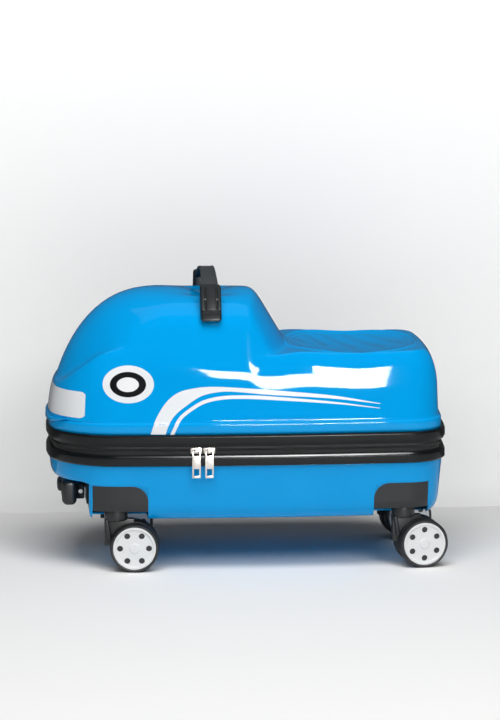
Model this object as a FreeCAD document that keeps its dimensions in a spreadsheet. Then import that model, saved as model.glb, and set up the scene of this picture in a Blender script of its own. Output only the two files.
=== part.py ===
import FreeCAD, Part
import math
import os
import re

import Sketcher

# Ride-on suitcase, in millimetres. Origin on the floor at mid length and mid width, +X to the rear,
# -Y to the left side, +Z up.

V = FreeCAD.Vector
X_AXIS = V(1, 0, 0)
Y_AXIS = V(0, 1, 0)
Z_AXIS = V(0, 0, 1)

SIZES = [
    # Plan of the rims
    ("overall_length", 460.0, "over the rims, nose to tail"),
    ("overall_width", 226.0, "over the rims at mid length"),
    ("side_bow", 10.0, "how far the sides bow out over the length"),
    ("nose_bow", 22.0, "how far the nose bows out over the width"),
    ("tail_bow", 8.0, "how far the tail bows out over the width"),
    ("nose_corner", 82.0, "plan radius of the front corners"),
    ("tail_corner", 46.0, "plan radius of the rear corners"),
    # Rims and zip
    ("rim_level", 125.0, "underside of the lower rim"),
    ("rim_height", 12.5, "height of each rim"),
    ("rim_depth", 7.0, "depth of each rim, outside to inside"),
    ("zip_gap", 10.5, "gap between the rims, where the zip lies"),
    ("tape_thickness", 1.2, "thickness of the zip tape"),
    ("tape_grip", 9.0, "how far the tape runs up behind its rim"),
    ("coil_thickness", 2.4, "depth of the zip coil"),
    ("coil_height", 1.4, "height of each half of the zip coil"),
    ("coil_clearance", 0.15, "gap between the middle of the zip and each half of the coil"),
    ("hinge_clearance", 0.3, "gap between the fabric hinge and the zip tape"),
    ("hinge_front_edge", 105.0, "front end of the fabric hinge from the nose"),
    ("hinge_rear_edge", 80.0, "rear end of the fabric hinge from the tail"),
    # Shells
    ("shell_wall", 2.5, "wall of both shells"),
    ("overrun", 1.0, "how far cuts run past a face and joined forms into each other"),
    ("foot_inset", 3.5, "how far the rim stands proud of the shell's foot"),
    ("foot_height", 13.0, "height of the foot of the upper shell"),
    ("foot_step", 3.4, "step in from the foot to the side wall"),
    ("nose_reach", 1.4, "how much nearer the rim the foot stands at the nose"),
    ("nose_step", 0.4, "step in from the foot to the wall at the nose"),
    ("tail_inset", 4.5, "how far the rim stands proud of the foot at the tail"),
    ("side_lean", 4.5, "lean of the side walls up to the shoulder"),
    ("end_lean", 1.5, "lean of the nose and tail walls up to the shoulder"),
    ("seat_level", 249.0, "top of the seat"),
    ("shoulder_rise", 42.0, "height of the rounded shoulder below the seat"),
    ("shoulder_width", 18.0, "width of the rounded shoulder at the sides"),
    ("nose_shoulder", 40.0, "width of the rounded shoulder at the nose"),
    ("tail_shoulder", 19.0, "width of the rounded shoulder at the tail"),
    ("hump_root_level", 189.0, "level at which the hump's front springs from the nose"),
    ("hump_root_edge", 7.5, "front of the hump at its root from the nose"),
    ("hump_inset", 23.0, "side of the hump at its root from the rims' plan"),
    ("hump_level", 315.0, "top of the hump"),
    ("hump_run", 128.0, "how far the hump's rounded front runs back up to its top"),
    ("hump_top_rear", 14.0, "rear of the hump's top before rounding"),
    ("hump_rear_run", 73.0, "how far the hump's rear slope runs back down to the root"),
    ("hump_rear_round", 14.0, "how far the top of the rear slope is rounded off"),
    ("hump_nose_spare", 10.0, "plan radius of the hump's nose beyond its half width"),
    ("hump_nose_corner", 55.0, "plan radius of the hump's front corners"),
    ("hump_tail_corner", 34.0, "plan radius of the hump's rear corners"),
    ("scoop_depth", 9.0, "depth of the finger scoop under the carry strap"),
    ("scoop_radius", 70.0, "radius of the finger scoop"),
    ("bead_width", 4.0, "width of the bead round the seat"),
    ("bead_height", 1.6, "height of the bead and the seat ribs"),
    ("bead_front", 53.0, "front of the bead round the seat"),
    ("bead_edge", 27.0, "distance of the bead from the rims' plan at the side"),
    ("bead_tail", 32.0, "distance of the bead from the tail"),
    ("bead_roundness", 0.4, "plan radius of the bead's corners, as a share of its length"),
    ("rib_length", 74.0, "length of each seat rib"),
    ("rib_pitch", 30.0, "distance between the seat ribs"),
    ("rib_count", 4, "number of seat ribs"),
    ("rib_turn", 35.0, "how far the ribs are turned, in degrees"),
    ("belly_level", 60.0, "underside of the lower shell"),
    ("belly_lean", 6.0, "lean of the lower side walls"),
    ("belly_round", 22.0, "radius of the lower shell's bottom edge"),
    ("chin_level", 103.0, "underside of the chin"),
    ("chin_depth", 47.0, "front wall of the recess under the chin from the nose"),
    ("lining_thickness", 1.5, "thickness of the linings"),
    ("lining_clearance", 0.3, "gap between lining and shell"),
    # Carry strap
    ("strap_x", -43.0, "middle of the carry strap"),
    ("strap_width", 20.0, "width of the carry strap"),
    ("strap_thickness", 4.0, "thickness of the carry strap"),
    ("strap_level", 339.0, "top of the carry strap"),
    ("strap_inset", 39.0, "ends of the carry strap from the rims' plan at the side"),
    ("strap_end_drop", 11.0, "strap ends under the upper ends of the caps"),
    ("cap_width", 24.0, "width of the strap's end caps"),
    ("cap_depth", 29.0, "depth of the end caps before they are cut to the hump"),
    ("cap_height", 40.0, "height of the end caps"),
    ("cap_high", 327.0, "upper end of the end caps"),
    ("cap_inset", 21.0, "faces of the end caps from the rims' plan at the side"),
    ("cap_round", 4.0, "edge radius of the end caps"),
    ("strap_screw_radius", 3.2, "head radius of the cap screws"),
    ("strap_screw_proud", 0.8, "how far the cap screws stand out"),
    # Casters
    ("pin_front_edge", 78.0, "front kingpins from the nose"),
    ("pin_rear_edge", 52.0, "rear kingpins from the tail"),
    ("pin_y", 78.0, "kingpins from the middle"),
    ("pin_radius", 4.0, "kingpin radius"),
    ("pin_head_radius", 6.5, "radius of the kingpin's head"),
    ("pin_head_height", 2.5, "height of the kingpin's head"),
    ("running_fit", 0.05, "radial clearance of shafts in their bores"),
    ("swivel_clearance", 0.5, "gap between housing and fork"),
    ("front_yaw", -2.0, "how far the front casters are turned, in degrees"),
    ("rear_yaw", 8.0, "how far the rear casters are turned, in degrees"),
    ("trail", 21.0, "wheel axle behind the kingpin"),
    ("wheel_radius", 28.0, "tyre radius"),
    ("wheel_width", 16.0, "width of each wheel"),
    ("wheel_gap", 0.5, "gap between wheel and fork"),
    ("tyre_depth", 5.0, "thickness of the tyre"),
    ("tyre_shoulder", 1.6, "chamfer of the tyre's edges"),
    ("disc_lip", 1.6, "how far the disc covers the tyre"),
    ("disc_thickness", 2.0, "thickness of the disc's lip"),
    ("disc_hole_radius", 3.4, "holes in the disc"),
    ("disc_hole_circle", 16.5, "radius of the circle of holes"),
    ("disc_hole_depth", 5.0, "depth of the holes"),
    ("disc_hole_count", 6, "number of holes"),
    ("hub_cap_thickness", 2.5, "disc left outside the axle's end"),
    ("axle_radius", 3.0, "axle radius"),
    ("fork_web", 8.0, "thickness of the fork between the wheels"),
    ("fork_cap_radius", 13.5, "radius of the fork's head"),
    ("fork_cap_low", 58.0, "underside of the fork's head"),
    ("fork_boss_radius", 9.0, "radius of the fork round the axle"),
    ("fork_shin_low", 36.0, "lower end of the fork's front rib"),
    ("fork_shin_depth", 4.5, "depth of the fork's front rib"),
    ("fork_shin_inset", 1.0, "fork's front rib behind the front of the head"),
    ("fork_shin_width", 20.0, "width of the fork's front rib"),
    ("housing_low", 71.0, "underside of the caster housings"),
    ("housing_high", 101.0, "top of the caster housings"),
    ("housing_short", 27.0, "housing from the kingpin to the near end"),
    ("housing_long", 36.0, "housing from the kingpin to the rounded end"),
    ("housing_inner", 55.0, "inner side of the housings from the middle"),
    ("housing_round", 18.0, "radius of the housing's rounded corner"),
    ("housing_wall", 3.0, "wall of the housings"),
    ("housing_roof", 6.0, "roof of the housings"),
    ("housing_boss", 11.0, "radius of the kingpin's boss"),
    ("screw_radius", 3.0, "head radius of the housing screws"),
    ("screw_height", 2.0, "head height of the housing screws"),
    ("screw_edge", 7.0, "housing screws from the housing's edges"),
    # Trolley handle
    ("tube_y", 38.0, "tubes from the middle"),
    ("tube_level", 86.0, "middle of the tubes"),
    ("tube_width", 22.0, "width of the outer tubes"),
    ("tube_height", 14.0, "height of the outer tubes"),
    ("tube_wall", 1.2, "wall of the tubes"),
    ("tube_clearance", 0.3, "gap between the stages"),
    ("tube_rear_edge", 80.0, "rear end of the outer tubes from the tail"),
    ("stage_gap", 8.0, "how much shorter each stage is at the rear"),
    ("rod_reach", 12.0, "how far the rods reach into the grip's legs"),
    ("bezel_depth", 3.0, "depth of the bezel"),
    ("bezel_margin", 1.0, "bezel beyond each end of the grip"),
    ("bezel_height", 26.0, "height of the bezel"),
    ("bracket_depth", 8.0, "depth of the rear bracket"),
    ("bracket_margin", 5.0, "bracket round the tubes"),
    ("grip_gap", 1.0, "gap between the grip's legs and the bezel"),
    ("leg_length", 9.0, "length of the grip's legs"),
    ("leg_margin", 2.5, "grip's legs round the rods"),
    ("grip_depth", 17.0, "depth of the grip"),
    ("grip_height", 30.0, "height of the grip"),
    ("grip_half", 58.0, "half length of the grip"),
    ("grip_round", 6.5, "edge radius of the grip"),
    ("button_half", 15.0, "half length of the push button"),
    ("button_height", 13.0, "height of the push button"),
    ("button_round", 1.5, "corner radius of the push button"),
    ("button_stroke", 3.5, "stroke of the push button"),
    ("button_proud", 4.5, "how far the push button stands out"),
    ("button_root", 5.0, "how far the push button reaches into the grip"),
    ("button_clearance", 0.3, "gap round the push button"),
    ("grip_screw_radius", 2.4, "radius of the leg screws"),
    ("grip_screw_proud", 0.8, "how far the leg screws stand out"),
    ("grip_screw_depth", 1.5, "how deep the leg screws go"),
    # Zip sliders
    ("slider_front_x", -61.6, "front slider"),
    ("slider_rear_x", -46.9, "rear slider"),
    ("slider_width", 14.0, "length of each slider along the zip"),
    ("slider_height", 9.5, "height of each slider"),
    ("slider_front_inset", 1.5, "slider's face behind the rim's face"),
    ("slider_clearance", 0.3, "gap between slider and coil"),
    ("loop_width", 5.0, "width of the slider's loop"),
    ("loop_half", 1.9, "half size of the slider's loop"),
    ("pull_proud", 1.5, "pull tab's middle in front of the rim"),
    ("pull_width", 9.9, "width of the pull tab"),
    ("pull_length", 31.0, "length of the pull tab from its pin"),
    ("pull_thickness", 1.4, "thickness of the pull tab"),
    ("pull_window", 5.6, "inner width of the pull tab's windows"),
    ("pull_neck", 5.0, "height of the upper window"),
    ("pull_hole_height", 8.0, "height of the lower window"),
    ("pull_hole_edge", 3.0, "material below the lower window"),
    ("pull_pin_radius", 1.0, "radius of the pull tab's pin"),
    # Packing straps
    ("packing_width", 25.0, "width of the packing straps"),
    ("packing_thickness", 1.5, "thickness of the packing straps"),
    ("packing_x", 30.0, "middle of the packing straps"),
    ("packing_half", 84.0, "half length of the packing straps"),
    ("buckle_length", 46.0, "length of the buckle"),
    ("buckle_width", 32.0, "width of the buckle"),
    ("buckle_height", 8.0, "height of the buckle"),
]

doc = FreeCAD.newDocument("ride_on_suitcase")
sheet = doc.addObject("Spreadsheet::Sheet", "sizes")
for row, (alias, number, note) in enumerate(SIZES, 1):
    sheet.set(f"A{row}", alias)
    sheet.set(f"B{row}", str(number))
    sheet.set(f"C{row}", note)
    sheet.setAlias(f"B{row}", alias)
doc.recompute()
ALIASES = [alias for alias, number, note in SIZES]
NODES = {}


def size(alias):
    """A driving dimension from the sheet."""
    return float(getattr(sheet, alias))


def bound(text):
    """An expression on the sheet's aliases, written out for another object."""
    return re.sub(r"[a-z_]{3,}", lambda m: f"sizes.{m[0]}" if m[0] in ALIASES else m[0], text)


def worth(text):
    """The present value of an expression on the sheet's aliases."""
    return float(sheet.evalExpression(bound(text)))


def node(label, obj):
    """Name a finished sub-part."""
    obj.Label = label
    NODES[label] = obj
    return obj


def feature(label, shape, placement=None):
    """A sub-part whose shape is worked out here."""
    obj = doc.addObject("Part::Feature", label)
    obj.Shape = shape
    if placement:
        obj.Placement = placement
    return node(label, obj)


def box(name, length, width, height, low):
    """A block with bound sizes; low holds the expressions of its lowest corner."""
    obj = doc.addObject("Part::Box", name)
    for prop, text in zip(("Length", "Width", "Height"), (length, width, height)):
        obj.setExpression(prop, bound(text))
    for axis, text in zip("xyz", low):
        obj.setExpression(f"Placement.Base.{axis}", bound(text))
    return obj


def cylinder(name, radius, height, low, turn=None):
    """A round bar with bound sizes; low is the middle of its first end."""
    obj = doc.addObject("Part::Cylinder", name)
    obj.setExpression("Radius", bound(radius))
    obj.setExpression("Height", bound(height))
    if turn:
        obj.Placement = FreeCAD.Placement(V(0, 0, 0), turn)
    for axis, text in zip("xyz", low):
        obj.setExpression(f"Placement.Base.{axis}", bound(text))
    return obj


def cut(name, base, tool):
    """One object less another."""
    obj = doc.addObject("Part::Cut", name)
    obj.Base = base
    obj.Tool = tool
    return obj


def fuse(name, pieces):
    """Several objects as one solid."""
    obj = doc.addObject("Part::MultiFuse", name)
    obj.Shapes = pieces
    return obj


def group(name, pieces):
    """Several separate solids in one sub-part."""
    obj = doc.addObject("Part::Compound", name)
    obj.Links = pieces
    return obj


def rounded(name, base, radius, choose):
    """An object with the edges rounded that choose picks."""
    doc.recompute()
    obj = doc.addObject("Part::Fillet", name)
    obj.Base = base
    picks = [number for number, edge in enumerate(base.Shape.Edges, 1) if choose(edge)]
    obj.Edges = [(number, radius, radius) for number in picks]
    return obj


def along(direction):
    """A test for straight edges in one direction."""
    def test(edge):
        start, end = edge.Vertexes[0].Point, edge.Vertexes[-1].Point
        return edge.Curve.TypeId == "Part::GeomLine" and (end - start).cross(direction).Length < 1e-6
    return test


ALONG_X = FreeCAD.Rotation(Y_AXIS, 90)
ALONG_Y = FreeCAD.Rotation(X_AXIS, -90)

# Plan curves of the case

HALF_LENGTH = size("overall_length") / 2
HALF_WIDTH = size("overall_width") / 2


def bow_radius(half_span, bow):
    """Radius of an arc that bows out by so much over twice the half span."""
    return (half_span ** 2 + bow ** 2) / (2 * bow)


SIDE_RADIUS = bow_radius(HALF_LENGTH, size("side_bow"))
NOSE_RADIUS = bow_radius(HALF_WIDTH, size("nose_bow"))
TAIL_RADIUS = bow_radius(HALF_WIDTH, size("tail_bow"))


def corner_centre(side, side_radius, end, end_radius, corner, outward):
    """Centre of a corner arc inside a side arc and an end arc, on the -Y side."""
    first, second = side_radius - corner, end_radius - corner
    span = end - side
    apart = span.Length
    reach = (first ** 2 - second ** 2 + apart ** 2) / (2 * apart)
    height = math.sqrt(first ** 2 - reach ** 2)
    unit = span / apart
    across = V(-unit.y, unit.x, 0) * height
    options = [side + unit * reach + across, side + unit * reach - across]
    return min(options, key=lambda p: p.y - outward * p.x)


def plan_wire(front, rear, half, nose_corner, tail_corner, level, shrink=0.0, nose_arc=NOSE_RADIUS):
    """A bowed rectangle of eight tangent arcs at one level."""
    middle = (front + rear) / 2
    side_radius = SIDE_RADIUS - shrink
    nose_radius = nose_arc - shrink
    tail_radius = TAIL_RADIUS - shrink
    side = V(middle, side_radius - half, 0)
    nose = V(front + nose_radius, 0, 0)
    tail = V(rear - tail_radius, 0, 0)
    nose_mid = corner_centre(side, side_radius, nose, nose_radius, nose_corner, -1)
    tail_mid = corner_centre(side, side_radius, tail, tail_radius, tail_corner, 1)

    def touch(centre, radius, corner_mid):
        return centre + (corner_mid - centre).normalize() * radius

    def bulge(corner_mid, radius, one, two):
        return corner_mid + ((one + two) / 2 - corner_mid).normalize() * radius

    nose_end = touch(nose, nose_radius, nose_mid)
    nose_side = touch(side, side_radius, nose_mid)
    tail_side = touch(side, side_radius, tail_mid)
    tail_end = touch(tail, tail_radius, tail_mid)
    nose_bulge = bulge(nose_mid, nose_corner, nose_end, nose_side)
    tail_bulge = bulge(tail_mid, tail_corner, tail_side, tail_end)

    def far(point):
        return V(point.x, -point.y, 0)

    stops = [
        (nose_end, nose_bulge, nose_side), (nose_side, V(middle, -half, 0), tail_side),
        (tail_side, tail_bulge, tail_end), (tail_end, V(rear, 0, 0), far(tail_end)),
        (far(tail_end), far(tail_bulge), far(tail_side)),
        (far(tail_side), V(middle, half, 0), far(nose_side)),
        (far(nose_side), far(nose_bulge), far(nose_end)), (far(nose_end), V(front, 0, 0), nose_end),
    ]
    up = V(0, 0, level)
    return Part.Wire([Part.Arc(a + up, b + up, c + up).toShape() for a, b, c in stops])


def rim_plan(inset, level):
    """The plan of the rims, moved in all round."""
    return plan_wire(-HALF_LENGTH + inset, HALF_LENGTH - inset, HALF_WIDTH - inset,
                     size("nose_corner") - inset, size("tail_corner") - inset, level, inset)


def lid_plan(side, nose, tail, level):
    """The plan of the rims, moved in by its own amount at the sides, the nose and the tail."""
    return plan_wire(-HALF_LENGTH + nose, HALF_LENGTH - tail, HALF_WIDTH - side,
                     size("nose_corner") - side, size("tail_corner") - side, level, side)


def loft(wires):
    """A solid straight from one plan curve to the next."""
    return Part.makeLoft(wires, True, True)


def ring(outer, inner, low, high):
    """A closed band between two insets of the rims' plan."""
    rise = V(0, 0, high - low)
    outside = Part.Face(rim_plan(outer, low)).extrude(rise)
    return outside.cut(Part.Face(rim_plan(inner, low)).extrude(rise))


def level_edges(solid, level):
    """The edges of a solid that lie at one level."""
    return [e for e in solid.Edges if all(abs(v.Z - level) < 1e-6 for v in e.Vertexes)
            and abs(e.BoundBox.ZMax - e.BoundBox.ZMin) < 1e-4]


def block(low, high):
    """A plain block between two corners."""
    return Part.makeBox(high[0] - low[0], high[1] - low[1], high[2] - low[2], V(*low))


# Levels that follow from the sizes

WALL = size("shell_wall")
LOWER_RIM_TOP = size("rim_level") + size("rim_height")
UPPER_RIM_LOW = LOWER_RIM_TOP + size("zip_gap")
UPPER_RIM_TOP = UPPER_RIM_LOW + size("rim_height")
ZIP_LEVEL = LOWER_RIM_TOP + size("zip_gap") / 2
OUTSIDE = 2 * size("overall_length")

# Rims, zip tapes, zip coils and the fabric hinge

feature("lower_rim", ring(0, size("rim_depth"), size("rim_level"), LOWER_RIM_TOP))
feature("upper_rim", ring(0, size("rim_depth"), UPPER_RIM_LOW, UPPER_RIM_TOP))

TAPE_OUT = size("rim_depth")
TAPE_IN = TAPE_OUT + size("tape_thickness")
COIL_OUT = TAPE_OUT - (size("coil_thickness") - size("tape_thickness")) / 2
COIL_IN = COIL_OUT + size("coil_thickness")
HINGE_FRONT = -HALF_LENGTH + size("hinge_front_edge")
HINGE_REAR = HALF_LENGTH - size("hinge_rear_edge")
HINGE_CUT = block((HINGE_FRONT, HALF_WIDTH / 2, 0), (HINGE_REAR, HALF_WIDTH * 2, OUTSIDE))


def zip_part(outer, inner, low, high):
    """A band of the zip, open where the fabric hinge is."""
    return ring(outer, inner, low, high).cut(HINGE_CUT)


LOWER_COIL_LOW = ZIP_LEVEL - size("coil_clearance") - size("coil_height")
UPPER_COIL_HIGH = ZIP_LEVEL + size("coil_clearance") + size("coil_height")
feature("lower_zip_tape", zip_part(TAPE_OUT, TAPE_IN, LOWER_RIM_TOP - size("tape_grip"), LOWER_COIL_LOW))
feature("upper_zip_tape", zip_part(TAPE_OUT, TAPE_IN, UPPER_COIL_HIGH, UPPER_RIM_LOW + size("tape_grip")))
feature("lower_zip_coil", zip_part(COIL_OUT, COIL_IN, LOWER_COIL_LOW, ZIP_LEVEL - size("coil_clearance")))
feature("upper_zip_coil", zip_part(COIL_OUT, COIL_IN, ZIP_LEVEL + size("coil_clearance"), UPPER_COIL_HIGH))

HINGE_OUT = TAPE_OUT + size("hinge_clearance")
hinge_keep = block((HINGE_FRONT + size("hinge_clearance"), HALF_WIDTH / 2, 0),
                   (HINGE_REAR - size("hinge_clearance"), HALF_WIDTH * 2, OUTSIDE))
hinge_band = ring(HINGE_OUT, HINGE_OUT + size("tape_thickness"),
                  LOWER_RIM_TOP - size("tape_grip"), UPPER_RIM_LOW + size("tape_grip"))
feature("hinge_tape", hinge_band.common(hinge_keep))

# Upper shell: foot, side walls up to the seat, hump, finger scoop, seat bead and ribs

FOOT_HIGH = UPPER_RIM_TOP + size("foot_height")
WALL_INSET = size("foot_inset") + size("foot_step")
# Steps of the rounded shoulder and of the hump, in degrees, and the powers that round the hump
SHOULDER_TURNS = (24, 44, 62, 78, 90)
HUMP_TURNS = (0, 15, 30, 45, 57, 67, 75, 82)
HUMP_FRONT_RISE = 1.45
HUMP_FRONT_RUN = 2.6
HUMP_SIDE_RISE = 7
HUMP_REAR_RISE = 16
HUMP_FRONT = -HALF_LENGTH + size("hump_root_edge")
HUMP_RISE = size("hump_level") - size("hump_root_level")
HUMP_HALF = HALF_WIDTH - size("hump_inset")


def lid_foot(skin, low):
    """The foot of the upper shell, a band that stands out from its walls."""
    nose = size("foot_inset") - size("nose_reach")
    plan = lid_plan(size("foot_inset") + skin, nose + skin, size("tail_inset") + skin, low)
    return Part.Face(plan).extrude(V(0, 0, FOOT_HIGH - skin - low))


def lid_body(skin, low):
    """The lid's body: leaning walls, then an elliptical shoulder up to the seat."""
    side = WALL_INSET + skin
    nose = size("foot_inset") - size("nose_reach") + size("nose_step") + skin
    tail = size("tail_inset") + size("foot_step") + skin
    plans = [lid_plan(side, nose, tail, low)]
    wall_top = size("seat_level") - size("shoulder_rise") - skin
    for turn in (0,) + SHOULDER_TURNS:
        along = 1 - math.cos(math.radians(turn))
        plans.append(lid_plan(
            side + size("side_lean") + size("shoulder_width") * along,
            nose + size("end_lean") + size("nose_shoulder") * along,
            tail + size("end_lean") + size("tail_shoulder") * along,
            wall_top + size("shoulder_rise") * math.sin(math.radians(turn))))
    return loft(plans)


def hump_plan(turn, skin):
    """The hump's plan at one step up its rounded front, a quarter turn from its root to its top."""
    up = math.sin(math.radians(turn))
    ahead = (1 - up ** HUMP_FRONT_RISE) ** (1 / HUMP_FRONT_RUN)
    share = math.sqrt(1 - up ** HUMP_SIDE_RISE)
    front = HUMP_FRONT + size("hump_run") * (1 - ahead) + skin
    rear = size("hump_top_rear") + size("hump_rear_run") * (1 - up)
    rear -= size("hump_rear_round") * up ** HUMP_REAR_RISE + skin
    return plan_wire(front, rear, HUMP_HALF * share - skin, size("hump_nose_corner") * share - skin,
                     size("hump_tail_corner") * share - skin, size("hump_root_level") + HUMP_RISE * up - skin,
                     skin, HUMP_HALF + size("hump_nose_spare"))


def upper_form(skin):
    """The outside of the upper shell, or its inside when skin is the wall."""
    low = UPPER_RIM_TOP - (WALL if skin else 0)
    hump = loft([hump_plan(turn, skin) for turn in HUMP_TURNS])
    scoop_level = size("hump_level") - size("scoop_depth") + size("scoop_radius")
    scoop = Part.makeSphere(size("scoop_radius") + skin, V(size("strap_x"), 0, scoop_level))
    return lid_foot(skin, low).fuse([lid_body(skin, low), hump]).cut(scoop)


upper_outside = upper_form(0)
upper_shell = upper_outside.cut(upper_form(WALL))

seat_front = size("bead_front")
seat_rear = HALF_LENGTH - size("bead_tail")
seat_half = HALF_WIDTH - size("bead_edge")
SEAT_CORNER = (seat_rear - seat_front) * size("bead_roundness")


def seat_plan(shrink):
    """The outline of the seat panel."""
    return plan_wire(seat_front + shrink, seat_rear - shrink, seat_half - shrink,
                     SEAT_CORNER - shrink, SEAT_CORNER - shrink, size("seat_level") - WALL / 2, shrink)


bead_rise = V(0, 0, WALL / 2 + size("bead_height"))
seat_panel = Part.Face(seat_plan(size("bead_width"))).extrude(bead_rise)
seat_details = [Part.Face(seat_plan(0)).extrude(bead_rise).cut(seat_panel)]
rib_span = size("rib_pitch") * (size("rib_count") - 1)
for number in range(int(size("rib_count"))):
    rib = Part.makeBox(size("bead_width"), size("rib_length"), bead_rise.z,
                       V(-size("bead_width") / 2, -size("rib_length") / 2, 0))
    rib.rotate(V(0, 0, 0), Z_AXIS, size("rib_turn"))
    rib_x = (seat_front + seat_rear - rib_span) / 2 + number * size("rib_pitch")
    rib.translate(V(rib_x, 0, size("seat_level") - WALL / 2))
    seat_details.append(rib.common(seat_panel))
upper_shell = upper_shell.fuse(seat_details).removeSplitter()
feature("upper_shell", upper_shell)

# Lower shell: side walls, rounded bottom edge, recess under the chin, wells for the casters

BELLY_INSIDE = size("belly_level") + WALL


CHIN_WALL = -HALF_LENGTH + size("chin_depth")


def lower_form(skin):
    """The outside of the lower shell, or its inside when skin is the wall."""
    belly = size("belly_level") + skin
    top = size("rim_level") + (WALL if skin else 0)
    body = loft([rim_plan(size("foot_inset") + size("belly_lean") + skin, belly),
                 rim_plan(size("foot_inset") + skin, top)])
    body = body.makeFillet(size("belly_round") - skin, level_edges(body, belly))
    recess = block((-OUTSIDE, -OUTSIDE, -OUTSIDE),
                   (CHIN_WALL + skin, OUTSIDE, size("chin_level") + skin))
    return body.cut(recess)


lower_outside = lower_form(0)
CASTERS = {}
for end, pin_x in (("front", -HALF_LENGTH + size("pin_front_edge")),
                   ("rear", HALF_LENGTH - size("pin_rear_edge"))):
    for hand, pin_y in (("left", -size("pin_y")), ("right", size("pin_y"))):
        CASTERS[f"{end}_{hand}"] = V(pin_x, pin_y, 0)


def housing_block(pin, low, skin=0.0):
    """The block of a caster housing, its upper corner towards mid length rounded."""
    inward = 1 if pin.x < 0 else -1
    ends = sorted((pin.x - inward * (size("housing_short") - skin),
                   pin.x + inward * (size("housing_long") - skin)))
    sides = sorted((math.copysign(size("housing_inner") + skin, pin.y),
                    math.copysign(HALF_WIDTH * 2, pin.y)))
    high = size("housing_high") - (size("housing_roof") if skin else 0)
    body = block((ends[0], sides[0], low), (ends[1], sides[1], high))
    corner = ends[1] if inward > 0 else ends[0]
    picks = [e for e in body.Edges
             if all(abs(v.X - corner) < 1e-6 and abs(v.Z - high) < 1e-6 for v in e.Vertexes)]
    return body.makeFillet(size("housing_round") - skin, picks)


lower_shell = lower_outside.cut(lower_form(WALL))
MIDDLE_WIDTH = size("tube_width") - 2 * (size("tube_wall") + size("tube_clearance"))
MIDDLE_HEIGHT = size("tube_height") - 2 * (size("tube_wall") + size("tube_clearance"))


def tube_slots(clearance, reach):
    """Blocks that clear the middle tubes through the recess wall and the bezel."""
    half_wide = MIDDLE_WIDTH / 2 + clearance
    half_high = MIDDLE_HEIGHT / 2 + clearance
    return [block((CHIN_WALL - reach, y - half_wide, size("tube_level") - half_high),
                  (CHIN_WALL + reach, y + half_wide, size("tube_level") + half_high))
            for y in (-size("tube_y"), size("tube_y"))]


lower_shell = lower_shell.cut([housing_block(pin, 0) for pin in CASTERS.values()])
lower_shell = lower_shell.cut(tube_slots(size("tube_clearance"), WALL + size("overrun")))
feature("lower_shell", lower_shell)

# Linings: a tray over the trolley tubes and a skin inside the lid

LINING_SKIN = WALL + size("lining_clearance")
LINING = size("lining_thickness")
LINING_FLOOR = size("chin_level") + LINING_SKIN


def lower_lining_form(skin):
    """The outside of the lower lining, or its inside when skin is its thickness."""
    lean = size("belly_lean") * (size("rim_level") - LINING_FLOOR) / (size("rim_level") - size("belly_level"))
    edge = size("foot_inset") + LINING_SKIN + skin
    top = size("rim_level") + skin
    return loft([rim_plan(edge + lean, LINING_FLOOR + skin), rim_plan(edge, top)])


feature("lower_lining", lower_lining_form(0).cut(lower_lining_form(LINING)))


def upper_lining_form(skin):
    """The outside of the upper lining, or its inside when skin is its thickness."""
    return lid_body(LINING_SKIN + skin, UPPER_RIM_TOP - skin)


feature("upper_lining", upper_lining_form(0).cut(upper_lining_form(LINING)))

# Carry strap, its end caps and their screws

CAP_LOW = size("cap_high") - size("cap_height")
STRAP_END = size("cap_high") - size("strap_end_drop")
STRAP_RISE = size("strap_level") - STRAP_END
STRAP_HALF = HALF_WIDTH - size("strap_inset")
CAP_FACE = HALF_WIDTH - size("cap_inset")
STRAP_RADIUS = bow_radius(STRAP_HALF, STRAP_RISE)


def strap_band(side_width):
    """The strap as a bent band of the given width."""
    centre = V(size("strap_x") - side_width / 2, 0, size("strap_level") - STRAP_RADIUS)
    outer = Part.makeCylinder(STRAP_RADIUS, side_width, centre, X_AXIS)
    inner = Part.makeCylinder(STRAP_RADIUS - size("strap_thickness"), side_width, centre, X_AXIS)
    keep = block((-OUTSIDE, -STRAP_HALF, CAP_LOW),
                 (OUTSIDE, STRAP_HALF, OUTSIDE))
    return outer.cut(inner).common(keep)


carry_strap = strap_band(size("strap_width")).cut(upper_outside)
feature("carry_strap", carry_strap)
strap_screws = []
SCREW_FACE = CAP_FACE + size("strap_screw_proud")
for hand, way in (("left", -1), ("right", 1)):
    low_y, high_y = sorted((way * CAP_FACE, way * (CAP_FACE - size("cap_depth"))))
    cap = block((size("strap_x") - size("cap_width") / 2, low_y, CAP_LOW),
                (size("strap_x") + size("cap_width") / 2, high_y, size("cap_high")))
    face_edges = [e for e in cap.Edges if all(abs(v.Y - way * CAP_FACE) < 1e-6 for v in e.Vertexes)]
    cap = cap.makeFillet(size("cap_round"), face_edges)
    cap = cap.cut([upper_outside, carry_strap])
    screw_level = (CAP_LOW + STRAP_END) / 2
    screw = Part.makeCylinder(size("strap_screw_radius"), size("cap_round"),
                              V(size("strap_x"), way * SCREW_FACE, screw_level), V(0, -way, 0))
    cap = cap.cut(screw)
    feature(f"strap_cap_{hand}", max(cap.Solids, key=lambda s: s.Volume))
    strap_screws.append(screw)
feature("strap_screws", Part.Compound(strap_screws))

# Casters


def caster_place(pin, local):
    """A placement in a caster's own frame, whose origin is the floor under its kingpin."""
    yaw = size("front_yaw") if pin.x < 0 else size("rear_yaw")
    turned = FreeCAD.Placement(pin, FreeCAD.Rotation(Z_AXIS, yaw))
    return turned.multiply(local)


def origin_plane(body, role):
    """One of a body's own origin planes."""
    return [f for f in body.Origin.OriginFeatures if f.Role == role][0]


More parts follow.
